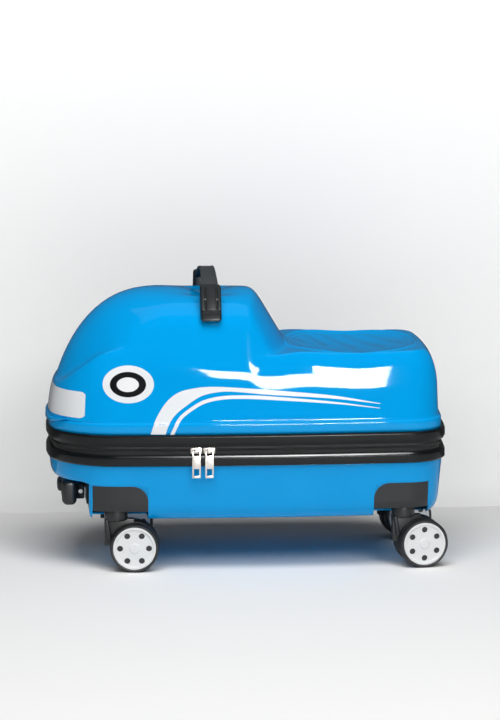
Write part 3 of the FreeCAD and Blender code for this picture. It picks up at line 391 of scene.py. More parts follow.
@dataclass(frozen=True)
class Outline:
    """Bowed rectangle of eight tangent arcs, in millimetres, as the rims are drawn."""

    half_length: float
    half_width: float
    side_bow: float = 10.0
    nose_bow: float = 22.0
    tail_bow: float = 8.0
    nose_corner: float = 82.0
    tail_corner: float = 46.0
    spine_share: float = 0.66

    @staticmethod
    def bow_radius(half_span: float, bow: float) -> float:
        """Radius of an arc that bows out by so much over twice the half span."""
        return (half_span ** 2 + bow ** 2) / (2 * bow)

    def side_radius(self) -> float:
        """Radius of the long sides."""
        return self.bow_radius(self.half_length, self.side_bow)

    def corner(self, end: Vector, end_radius: float, radius: float, outward: float) -> Vector:
        """Centre of a corner arc inside the near side's arc and an end's arc.

        Args:
            end: centre of the end's arc.
            end_radius: its radius.
            radius: radius of the corner.
            outward: sign of X of the end.

        Returns:
            The centre.
        """
        side = Vector((0.0, self.side_radius() - self.half_width))
        first = self.side_radius() - radius
        second = end_radius - radius
        span = end - side
        along = (first ** 2 - second ** 2 + span.length ** 2) / (2 * span.length)
        across = math.sqrt(first ** 2 - along ** 2)
        unit = span.normalized()
        foot = side + unit * along
        offset = Vector((-unit.y, unit.x)) * across
        return min((foot + offset, foot - offset), key=lambda p: p.y - outward * p.x)

    def stations(self, pitch: Callable[[float], float]) -> list[Station]:
        """Walk round the outline from the nose along the near side and back along the far side.

        Args:
            pitch: distance between stations at a given X.

        Returns:
            The stations of the closed loop, without a repeated last one.
        """
        nose_radius = self.bow_radius(self.half_width, self.nose_bow)
        tail_radius = self.bow_radius(self.half_width, self.tail_bow)
        side = Vector((0.0, self.side_radius() - self.half_width))
        nose = Vector((nose_radius - self.half_length, 0.0))
        tail = Vector((self.half_length - tail_radius, 0.0))
        nose_mid = self.corner(nose, nose_radius, self.nose_corner, -1)
        tail_mid = self.corner(tail, tail_radius, self.tail_corner, 1)
        turns = [self.heading(nose_mid - nose), self.heading(nose_mid - side),
                 self.heading(tail_mid - side), self.heading(tail_mid - tail)]
        arcs = [(nose, nose_radius, math.pi, turns[0]), (nose_mid, self.nose_corner, turns[0], turns[1]),
                (side, self.side_radius(), turns[1], turns[2]),
                (tail_mid, self.tail_corner, turns[2], turns[3]), (tail, tail_radius, turns[3], 2 * math.pi)]
        half: list[Station] = []
        for centre, radius, start, end in arcs:
            turn = start
            while turn < end - 1e-6:
                half.append(self.station(centre, radius, turn))
                step = pitch(half[-1].point.x) / radius
                left = (end - turn) / step
                turn += (end - turn) / max(1, round(left)) if left < 6 else step
        half.append(self.station(tail, tail_radius, 2 * math.pi))
        mirror = Vector((1.0, -1.0))
        back = [Station(s.point * mirror, s.inward * mirror, s.spine) for s in reversed(half[1:-1])]
        return half + back

    @staticmethod
    def heading(arm: Vector) -> float:
        """Angle of a radius of the near side, from half a turn at the nose to a full turn at the tail."""
        return math.atan2(arm.y, arm.x) % (2 * math.pi)

    def station(self, centre: Vector, radius: float, turn: float) -> Station:
        """The station of an arc at an angle.

        Args:
            centre: centre of the arc.
            radius: its radius.
            turn: the angle in radians.

        Returns:
            The station.
        """
        out = Vector((math.cos(turn), math.sin(turn)))
        point = centre + out * radius
        return Station(point, -out, Vector((point.x * self.spine_share, 0.0)))

    def near_y(self, place: float) -> float:
        """Y of the near side at an X."""
        return self.side_radius() - self.half_width - math.sqrt(self.side_radius() ** 2 - place ** 2)


def piece(name: str, mesh: bmesh.types.BMesh, finish: bpy.types.Material | None = None) -> bpy.types.Object:
    """Turn a bmesh in millimetres into an object at the origin, shaded smooth.

    Args:
        name: name of the piece.
        mesh: its bmesh, which is freed.
        finish: its material, or none for a cutter.

    Returns:
        The object.
    """
    bmesh.ops.scale(mesh, vec=(MM, MM, MM), verts=mesh.verts)
    for face in mesh.faces:
        face.smooth = True
    data = bpy.data.meshes.new(name)
    mesh.to_mesh(data)
    mesh.free()
    if finish:
        data.materials.append(finish)
    obj = bpy.data.objects.new(name, data)
    bpy.context.collection.objects.link(obj)
    return obj


def tidy(mesh: bmesh.types.BMesh, distance: float = 0.005) -> None:
    """Merge doubles and turn the faces outwards.

    Args:
        mesh: the bmesh.
        distance: how close doubles are, in its own units.
    """
    bmesh.ops.remove_doubles(mesh, verts=mesh.verts, dist=distance)
    bmesh.ops.dissolve_degenerate(mesh, dist=distance, edges=mesh.edges)
    bmesh.ops.recalc_face_normals(mesh, faces=mesh.faces)


def skin(columns: Sequence[Sequence[Vector]], loop: bool = True, ring: bool = False) -> bmesh.types.BMesh:
    """Lay a grid over columns of points.

    Args:
        columns: points of each column, the same number in each.
        loop: whether the last column joins the first.
        ring: whether the last point of each column joins its first.

    Returns:
        A bmesh in millimetres with its doubles merged.
    """
    across = [*columns, columns[0]] if loop else list(columns)
    if ring:
        across = [[*column, column[0]] for column in across]
    wide = len(across) - 1
    tall = len(across[0]) - 1
    mesh = bmesh.new()
    bmesh.ops.create_grid(mesh, x_segments=wide, y_segments=tall, size=0.5)
    for vert in mesh.verts:
        column = round((vert.co.x + 0.5) * wide)
        row = round((vert.co.y + 0.5) * tall)
        vert.co = across[column][row]
    tidy(mesh)
    return mesh


def rounded_path(corners: Sequence[tuple[float, float, float]], steps: int = 6) -> list[tuple[float, float]]:
    """Round the inner corners of an open path.

    Args:
        corners: two coordinates and a radius for each corner.
        steps: points along each rounding, less one.

    Returns:
        The points of the rounded path, always the same number for the same number of corners.
    """
    points = [Vector(c[:2]) for c in corners]
    path = [points[0]]
    for before, here, after, corner in zip(points, points[1:], points[2:], corners[1:]):
        back, on = before - here, after - here
        if back.length < 1e-6 or on.length < 1e-6:
            path.extend([here] * (steps + 1))
            continue
        angle = back.angle(on)
        trim = min(corner[2] / math.tan(max(angle, 0.02) / 2), 0.49 * back.length, 0.49 * on.length)
        start, end = here + back.normalized() * trim, here + on.normalized() * trim
        for index in range(steps + 1):
            share = index / steps
            path.append(start * (1 - share) ** 2 + here * 2 * share * (1 - share) + end * share ** 2)
    path.append(points[-1])
    return [(p.x, p.y) for p in path]


def loop_path(corners: Sequence[tuple[float, float, float]], steps: int = 4) -> list[tuple[float, float]]:
    """Round every corner of a closed path of two coordinates and a radius each."""
    path = rounded_path([corners[-1], *corners, corners[0]], steps)
    return path[1:-1]


def finish_edges(obj: bpy.types.Object, width: float, segments: int = 2, angle: float = 35.0) -> None:
    """Round the sharp edges of a piece with a live bevel.

    Args:
        obj: the piece.
        width: width of the bevel in millimetres.
        segments: its segments.
        angle: smallest edge angle that is rounded, in degrees.
    """
    bevel = obj.modifiers.new("edges", "BEVEL")
    bevel.width = width * MM
    bevel.segments = segments
    bevel.limit_method = "ANGLE"
    bevel.angle_limit = math.radians(angle)
    bevel.harden_normals = True


def apply_modifiers(obj: bpy.types.Object) -> None:
    """Make a piece's modifiers part of its mesh.

    Args:
        obj: the piece.
    """
    evaluated = obj.evaluated_get(bpy.context.evaluated_depsgraph_get())
    data = bpy.data.meshes.new_from_object(evaluated)
    obj.modifiers.clear()
    old = obj.data
    obj.data = data
    bpy.data.meshes.remove(old)


def thicken(obj: bpy.types.Object, thickness: float) -> None:
    """Give a skin a wall on its inner side.

    Args:
        obj: the piece.
        thickness: the wall in millimetres.
    """
    wall = obj.modifiers.new("wall", "SOLIDIFY")
    wall.thickness = thickness * MM
    wall.offset = -1.0


def cut_away(obj: bpy.types.Object, tool: bpy.types.Object, overlaps: bool = False) -> None:
    """Cut one piece out of another.

    Args:
        obj: the piece that is cut.
        tool: the cutter, which is deleted.
        overlaps: whether the piece is made of blocks that overlap.
    """
    cut = obj.modifiers.new("cut", "BOOLEAN")
    cut.operation = "DIFFERENCE"
    cut.solver = "EXACT"
    cut.use_self = overlaps
    cut.object = tool
    apply_modifiers(obj)
    bpy.data.objects.remove(tool)


def close_ends(mesh: bmesh.types.BMesh) -> None:
    """Cap the open ends of a tube and turn its faces outwards."""
    bmesh.ops.holes_fill(mesh, edges=[e for e in mesh.edges if e.is_boundary], sides=0)
    bmesh.ops.recalc_face_normals(mesh, faces=mesh.faces)


def box_mm(node: str) -> tuple[Vector, Vector]:
    """Lowest and highest corner of a CAD node, in millimetres."""
    low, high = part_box(node)
    return Vector(low) / MM, Vector(high) / MM


def through(knots: Sequence[tuple[float, float]], value: float) -> float:
    """Smooth curve through knots of place and height.

    Args:
        knots: places in rising order, each with its height.
        value: the place asked for.

    Returns:
        The height there.
    """
    if value <= knots[0][0]:
        return knots[0][1]
    for index in range(len(knots) - 1):
        (x0, y0), (x1, y1) = knots[index], knots[index + 1]
        if value <= x1:
            xa, ya = knots[max(index - 1, 0)]
            xb, yb = knots[min(index + 2, len(knots) - 1)]
            span = x1 - x0
            left = (y1 - ya) / (x1 - xa) * span
            right = (yb - y0) / (xb - x0) * span
            t = (value - x0) / span
            return (y0 * (2 * t ** 3 - 3 * t ** 2 + 1) + left * (t ** 3 - 2 * t ** 2 + t)
                    + y1 * (3 * t ** 2 - 2 * t ** 3) + right * (t ** 3 - t ** 2))
    return knots[-1][1]


@dataclass
class UpperShell:
    """The lid's pressed shell: stepped foot, leaning wall, rounded shoulder, hump and saddle seat."""

    outline: Outline
    finish: bpy.types.Material
    foot: float = 160.5
    foot_top: float = 173.5
    foot_inset: float = 3.5
    foot_edge: tuple[tuple[float, float], ...] = ((0.1, -1.6), (0.5, -0.6), (1.2, -0.1), (2.4, 0.3))
    step: float = 3.4
    step_root: tuple[tuple[float, float], ...] = ((-0.8, 0.8), (-0.2, 1.8), (0.0, 3.2))
    nose_reach: float = 1.4
    tail_reach: float = -1.0
    wall_slope: float = 0.137
    shoulder_width: float = 7.5
    tail_shoulder: float = 17.0
    shoulder_rise: float = 42.0
    shoulder_turns: int = 22
    top_rows: int = 56
    body_top: tuple[tuple[float, float], ...] = (
        (-230, 206), (-212, 216), (-190, 234), (-168, 250), (-145, 256), (-90, 253), (-30, 249), (25, 248),
        (60, 251.5), (118, 250), (180, 251), (230, 251))
    hump_top: float = 316.0
    hump_half: float = 87.0
    hump_side: float = 3.2
    hump_side_round: float = 30.0
    hump_root: float = 189.0
    hump_front: float = -222.5
    hump_run: float = 128.0
    hump_powers: tuple[float, float] = (2.6, 1.45)
    hump_rear: tuple[float, float, float] = (11.0, 1.74, 6.0)
    hump_nose_bow: float = 34.0
    hump_tail_bow: float = 10.0
    hump_crown: float = 14.0
    hump_width: float = 75.0
    hump_lead: float = 6.0
    saddle: float = 2.0
    saddle_run: tuple[float, float] = (40.0, 215.0)
    saddle_half: float = 88.0
    dish: float = 8.0
    valley: float = 5.0
    scoop_depth: float = 7.0
    scoop_length: float = 26.0
    scoop_half: tuple[float, float] = (24.0, 48.0)
    strap_x: float = -43.0
    seat_front: float = 46.0
    seat_rear: float = 198.0
    seat_half: float = 86.0
    seat_power: float = 2.4
    bead_height: float = 1.3
    bead_width: float = 2.3
    second_bead: tuple[float, float, float] = (7.0, 0.55, 2.0)
    rib_start: tuple[float, float] = (9.0, 14.0)
    rib_height: float = 0.6
    rib_pitch: float = 27.0
    rib_slope: float = 0.45
    thickness: float = 2.5

    @staticmethod
    def pitch(place: float) -> float:
        """Distance between ribs of the mesh: close on the seat, wide on plain walls.

        Args:
            place: X of the rib.

        Returns:
            The distance in millimetres.
        """
        if 45 < place < 205:
            return 2.0
        return 2.6 if 0 < place <= 45 else 4.6

    def hump(self, x: float, y: float) -> float:
        """Height of the hump's own form at a place.

        Args:
            x: place along the case.
            y: place across it.

        Returns:
            The height.
        """
        rise = self.hump_top - self.hump_root
        aside = (y / self.hump_width) ** 2
        back = x - self.hump_front - self.hump_nose_bow * aside
        ahead = min(1.0, max(0.0, 1 - back / self.hump_run))
        along, up = self.hump_powers
        front = rise * (1 - (1 - ahead ** along) ** (1 / up)) + self.hump_lead * max(0.0, -back)
        start, steep, rounding = self.hump_rear
        start -= self.hump_tail_bow * aside
        rear = steep * soft_ramp(start - x, rounding)
        out = abs(y) - self.hump_half + self.hump_side_round
        side = roll_over(out, self.hump_side_round, self.hump_side)
        return self.hump_top - self.hump_crown * aside - math.sqrt(front ** 2 + rear ** 2 + side ** 2)

    def dips(self, x: float, y: float) -> float:
        """Hollow under the strap, and the dish, beads and diagonal ribs of the seat.

        Args:
            x: place along the case.
            y: place across it.

        Returns:
            The change of height.
        """
        hollow = math.exp(-((x - self.strap_x) / self.scoop_length) ** 2)
        hollow *= 1 - ease(abs(y), *self.scoop_half)
        middle = (self.seat_front + self.seat_rear) / 2
        half = (self.seat_rear - self.seat_front) / 2
        share = abs((x - middle) / half) ** self.seat_power + abs(y / self.seat_half) ** self.seat_power
        share = share ** (1 / self.seat_power)
        edge = (share - 1) * half
        gap, low, width = self.second_bead
        bead = self.bead_height * math.exp(-(edge / self.bead_width) ** 2)
        bead += low * self.bead_height * math.exp(-((edge + gap) / width) ** 2)
        inside = ease(-edge, *self.rib_start)
        along = (x - middle + self.rib_slope * y) / self.rib_pitch
        rib = self.rib_height * (0.5 + 0.5 * math.cos(2 * math.pi * along)) * inside
        rib *= 1 - ease(abs(along), 2.0, 2.5)
        dished = self.dish * max(0.0, 1 - share ** 2)
        return bead + rib - dished - self.scoop_depth * hollow

    def top(self, place: Vector, drop: float, blend: float) -> float:
        """Height of the skin above the wall.

        Args:
            place: where, in plan.
            drop: how far the shoulder lies under the body's top there.
            blend: share of the hump that counts there.

        Returns:
            The height.
        """
        sag = self.saddle * math.sin(math.pi * ease(place.x, *self.saddle_run)) ** 2
        sag *= 1 - drop / self.shoulder_rise
        aside = min(1.0, abs(place.y) / self.saddle_half)
        body = through(self.body_top, place.x) - drop - sag * aside ** 2
        high = soft_max(body, self.hump(place.x, place.y), self.valley)
        return body + (high - body) * blend + self.dips(place.x, place.y)

    def column(self, station: Station) -> list[Vector]:
        """Points of one rib from the foot to the spine.

        Args:
            station: where the rib starts.

        Returns:
            The points in millimetres.
        """
        nose = max(0.0, station.inward.x) ** 2
        tail = max(0.0, -station.inward.x) ** 2
        foot = self.foot_inset - self.nose_reach * nose - self.tail_reach * tail
        wall = foot + self.step * (1 - 0.94 * nose)
        slope = self.wall_slope * (1 - 0.7 * nose - 0.7 * tail)
        shoulder = self.shoulder_width + (self.tail_shoulder - self.shoulder_width) * tail
        top_of_wall = through(self.body_top, station.point.x) - self.shoulder_rise
        rows = [(foot, self.foot), (foot, self.foot + 4), (foot, self.foot_top - 3)]
        rows += [(foot + inset, self.foot_top + rise) for inset, rise in self.foot_edge]
        rows += [(wall + inset, self.foot_top + rise) for inset, rise in self.step_root]
        low = rows[-1][1]
        for share in (0.25, 0.5, 0.75, 1.0):
            level = low + (top_of_wall - low) * share
            rows.append((wall + slope * (level - low), level))
        column = [station.at(d, z) for d, z in rows]
        edge = rows[-1][0]
        for index in range(1, self.shoulder_turns + 1):
            turn = math.pi / 2 * index / self.shoulder_turns
            rise = self.shoulder_rise * math.sin(turn)
            last = edge + slope * rise + shoulder * (1 - math.cos(turn))
            place = station.at(last, 0.0)
            place.z = self.top(place, self.shoulder_rise - rise, ease(last, edge, edge + 4.0))
            column.append(place)
        reach = station.reach()
        for index in range(1, self.top_rows + 1):
            place = station.at(last + (reach - last) * (index / self.top_rows) ** 1.4, 0.0)
            place.z = self.top(place, 0.0, 1.0)
            column.append(place)
        return column

    def build(self) -> bpy.types.Object:
        """Make the shell, with its thickness.

        Returns:
            The piece.
        """
        mesh = skin([self.column(s) for s in self.outline.stations(self.pitch)])
        obj = piece("upper_shell_skin", mesh, self.finish)
        thicken(obj, self.thickness)
        return dress(obj, "lid", "blue_shell", "upper_shell")


@dataclass
class LowerShell:
    """The base's pressed shell: leaning wall, rounded bottom edge, chin recess and four wheel wells."""

    outline: Outline
    finish: bpy.types.Material
    rim: float = 125.0
    inset: float = 3.5
    lean: float = 6.0
    belly: float = 60.0
    belly_round: float = 22.0
    chin: float = 103.0
    chin_round: float = 9.0
    recess: float = -183.0
    pins: tuple[float, float] = (-152.0, 178.0)
    well_short: float = 27.0
    well_long: float = 36.0
    well_inner: float = 55.0
    well_outer: float = 150.0
    well_bottom: float = 20.0
    well_top: float = 101.0
    well_round: float = 18.0
    thickness: float = 2.5

    def column(self, station: Station) -> list[Vector]:
        """Points of one rib from the rim to the spine under the belly.

        Args:
            station: where the rib starts.

        Returns:
            The points in millimetres.
        """
        slope = self.lean / (self.rim - self.belly)
        chin_inset = self.inset + slope * (self.rim - self.chin)
        back = chin_inset
        while station.at(back, 0.0).x < self.recess and back < station.reach():
            back += 0.25
        foot = back if back > chin_inset else self.inset + self.lean
        deep = ease(back - chin_inset, 0.0, 8.0)
        path = rounded_path([
            (self.inset, self.rim, 0.0), (self.inset + 0.1, self.rim - 1.0, 0.0),
            (chin_inset, self.chin, self.chin_round), (back, self.chin, 5.0),
            (foot, self.belly, self.belly_round - 10.0 * deep), (station.reach(), self.belly, 0.0)])
        return [station.at(d, z) for d, z in path]

    def wells(self) -> bpy.types.Object:
        """Blocks that the caster housings fill, with one rounded corner each.

        Returns:
            The blocks as one cutter.
        """
        mesh = bmesh.new()
        for pin, inward in zip(self.pins, (1, -1)):
            for way in (NEAR, FAR):
                ends = sorted((pin - inward * self.well_short, pin + inward * self.well_long))
                sides = sorted((way * self.well_inner, way * self.well_outer))
                made = add_block(mesh, (ends[0], sides[0], self.well_bottom),
                                 (ends[1], sides[1], self.well_top), 0.0)
                corner = ends[1] if inward > 0 else ends[0]
                turn = {v for v in made if abs(v.co.x - corner) < 0.1 and v.co.z > self.well_top - 0.1}
                edges = {e for v in turn for e in v.link_edges if turn.issuperset(e.verts)}
                bmesh.ops.bevel(mesh, geom=list(edges), offset=self.well_round, offset_type="OFFSET",
                                affect="EDGES", segments=10, profile=0.5, material=-1)
        bmesh.ops.recalc_face_normals(mesh, faces=mesh.faces)
        return piece("well_cutter", mesh)

    def build(self) -> bpy.types.Object:
        """Make the shell, with its thickness and its wells.

        Returns:
            The piece.
        """
        mesh = skin([self.column(s) for s in self.outline.stations(lambda x: 4.0)])
        obj = piece("lower_shell_skin", mesh, self.finish)
        thicken(obj, self.thickness)
        cut_away(obj, self.wells())
        return dress(obj, "base", "blue_shell", "lower_shell")


def add_block(mesh: bmesh.types.BMesh, low: Sequence[float], high: Sequence[float], rounding: float,
              segments: int = 3) -> list[bmesh.types.BMVert]:
    """Add a block with rounded edges.

    Args:
        mesh: the bmesh to add to.
        low: its lowest corner.
        high: its highest corner.
        rounding: radius of its edges.
        segments: segments of each rounding.

    Returns:
        Its vertices.
    """
    before = set(mesh.verts)
    made = bmesh.ops.create_cube(mesh, size=1.0)["verts"]
    size = Vector(high) - Vector(low)
    bmesh.ops.scale(mesh, vec=size, verts=made)
    bmesh.ops.translate(mesh, vec=(Vector(low) + Vector(high)) / 2, verts=made)
    edges = list({e for v in made for e in v.link_edges})
    if rounding > 0:
        bmesh.ops.bevel(mesh, geom=edges, offset=rounding, offset_type="OFFSET", affect="EDGES",
                        segments=segments, profile=0.5, material=-1)
    return [v for v in mesh.verts if v not in before]


def add_turned(mesh: bmesh.types.BMesh, profile: Sequence[tuple[float, float]], place: Matrix,
               steps: int = 64) -> list[bmesh.types.BMVert]:
    """Add a body turned about its own Z axis.

    Args:
        mesh: the bmesh to add to.
        profile: radius and height of each point of a closed profile, in order.
        place: where the body goes.
        steps: segments of the turn.

    Returns:
        Its vertices.
    """
    turned = bmesh.new()
    verts = [turned.verts.new((radius, 0.0, height)) for radius, height in profile]
    edges = [turned.edges.new((one, two)) for one, two in zip(verts, verts[1:] + verts[:1])]
    bmesh.ops.spin(turned, geom=verts + edges, cent=(0, 0, 0), axis=(0, 0, 1), angle=2 * math.pi,
                   steps=steps, use_merge=True)
    tidy(turned, 0.002)
    bmesh.ops.transform(turned, matrix=place, verts=turned.verts)
    bmesh.ops.recalc_face_normals(turned, faces=turned.faces)
    data = bpy.data.meshes.new("turned")
    turned.to_mesh(data)
    turned.free()
    before = set(mesh.verts)
    mesh.from_mesh(data)
    bpy.data.meshes.remove(data)
    return [v for v in mesh.verts if v not in before]


def dress(obj: bpy.types.Object, body: str, slot: str, *nodes: str) -> bpy.types.Object:
    """Tie a piece to its body and hide the nodes it stands for.

    Args:
        obj: the piece.
        body: body it rides on.
        slot: not used.
        nodes: nodes that it replaces.

    Returns:
        The piece.
    """
    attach(obj, body)
    if nodes:
        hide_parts(*nodes)
    return obj


@dataclass
class ZipBand:
    """The black band: both rim mouldings, both zip tapes, the coil and the fabric hinge."""

    outline: Outline
    rim_finish: bpy.types.Material
    tape_finish: bpy.types.Material
    coil_finish: bpy.types.Material
    rim_low: float = 125.0
    rim_height: float = 12.5
    rim_depth: float = 7.0
    zip_gap: float = 10.5
    tape_inset: float = 7.0
    tape_thickness: float = 1.2
    tape_grip: float = 9.0
    coil_proud: float = 1.5
    tooth_pitch: float = 2.2
    pitch: float = 4.0
    hinge: tuple[float, float] = (-125.0, 150.0)
    hinge_y: float = 106.0
    hinge_bend: float = 2.0

    @property
    def zip_level(self) -> float:
        """Height of the zip's middle line."""
        return self.rim_low + self.rim_height + self.zip_gap / 2

    def zipped(self, pitch: float) -> list[Station]:
        """Stations of the zip in order, from one end of the fabric hinge round to the other.

        Args:
            pitch: distance between stations.

        Returns:
            The stations.
        """
        ring = self.outline.stations(lambda x: pitch)
        # The station at the nose can lie a hair past the middle, so the far side starts a millimetre out
        first = next(i for i, s in enumerate(ring) if s.point.y > 1.0 and s.point.x < self.hinge[0])
        turned = ring[first:] + ring[:first]
        return [s for s in turned if not (s.point.y > 0 and self.hinge[0] <= s.point.x <= self.hinge[1])]

    def rim(self, name: str, body: str, low: float, mouth_up: bool) -> bpy.types.Object:
        """One rim moulding: rounded face, and a small lip towards the zip.

        Args:
            name: node that it stands for.
            body: body it rides on.
            low: its underside.
            mouth_up: whether the zip is above it.

        Returns:
            The piece.
        """
        high = low + self.rim_height
        corners = [(0.0, 1.6, 1.5), (0.0, 9.6, 1.2), (0.9, 10.0, 0.4), (1.3, self.rim_height, 0.9),
                   (self.rim_depth, self.rim_height, 0.6), (self.rim_depth, 0.0, 0.6), (1.4, 0.0, 1.2)]
        rows = [(d, low + z if mouth_up else high - z) for d, z in loop_path(corners)]
        columns = [[s.at(d, z) for d, z in rows] for s in self.outline.stations(lambda x: self.pitch)]
        obj = piece(f"{name}_moulding", skin(columns, ring=True), self.rim_finish)
        return dress(obj, body, "black_rim", name)

    def tape(self, name: str, body: str, upper: bool) -> bpy.types.Object:
        """One half of the zip's woven tape, bowed a little towards the coil.

        Args:
            name: node that it stands for.
            body: body it rides on.
            upper: whether it is the lid's half.

        Returns:
            The piece.
        """
        way = 1.0 if upper else -1.0
        level = self.zip_level
        tall = self.zip_gap / 2 + self.tape_grip
        face = [(self.tape_inset - 0.9, 0.7), (self.tape_inset - 0.7, 2.4), (self.tape_inset, 5.0),
                (self.tape_inset, tall)]
        back = [(d + self.tape_thickness, h) for d, h in reversed(face)]
        columns = [[s.at(d, level + way * h) for d, h in face + back] for s in self.zipped(self.pitch)]
        mesh = skin(columns, loop=False, ring=True)
        close_ends(mesh)
        obj = piece(f"{name}_cloth", mesh, self.tape_finish)
        return dress(obj, body, "zip_tape", name)

    def coil(self, name: str, body: str, upper: bool) -> bpy.types.Object:
        """One half of the nylon coil, a row of small links that lean over the middle line.

        Args:
            name: node that it stands for.
            body: body it rides on.
            upper: whether it is the lid's half.

        Returns:
            The piece.
        """
        way = 1.0 if upper else -1.0
        mesh = bmesh.new()
        ring = self.zipped(self.tooth_pitch)
        for station in ring[1:-1]:
            place = station.at(self.tape_inset - self.coil_proud, self.zip_level + way * 0.75)
            along = Vector((-station.inward.y, station.inward.x, 0.0))
            inward = Vector((station.inward.x, station.inward.y, 0.0))
            turn = Matrix((along, inward, Vector((0, 0, 1)))).transposed().to_4x4()
            size = Matrix.Diagonal((self.tooth_pitch * 0.44, 0.75, 1.15, 1.0))
            shift = along * (self.tooth_pitch / 2 if upper else 0.0)
            bmesh.ops.create_uvsphere(mesh, u_segments=6, v_segments=4, radius=1.0,
                                      matrix=Matrix.Translation(place + shift) @ turn @ size)
        obj = piece(f"{name}_links", mesh, self.coil_finish)
        return dress(obj, body, "zip_coil", name)

    def hinge_cloth(self) -> bpy.types.Object:
        """The woven strip that hinges the lid along the far side.

        Returns:
            The piece.
        """
        ring = [s for s in self.outline.stations(lambda x: self.pitch)
                if s.point.y > 0 and self.hinge[0] <= s.point.x <= self.hinge[1]]
        half = self.zip_gap / 2 + self.tape_grip
        heights = [-half, -self.zip_gap / 2, -3.0, -1.5, 0.0, 1.5, 3.0, self.zip_gap / 2, half]
        face = [(self.tape_inset - 0.6 * (1 - (h / half) ** 2), h) for h in heights]
        back = [(d + self.tape_thickness, h) for d, h in reversed(face)]
        columns = [[s.at(d, self.zip_level + h) for d, h in face + back] for s in ring]
        mesh = skin(columns, loop=False, ring=True)
        close_ends(mesh)
        obj = piece("hinge_cloth", mesh, self.tape_finish)
        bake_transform(obj)
        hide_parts("hinge_tape")
        return obj

    def build(self) -> list[bpy.types.Object]:
        """Make every piece of the band.

        Returns:
            The pieces.
        """
        upper_low = self.rim_low + self.rim_height + self.zip_gap
        return [self.rim("lower_rim", "base", self.rim_low, True),
                self.rim("upper_rim", "lid", upper_low, False),
                self.tape("lower_zip_tape", "base", False), self.tape("upper_zip_tape", "lid", True),
                self.coil("lower_zip_coil", "base", False), self.coil("upper_zip_coil", "lid", True),
                self.hinge_cloth()]


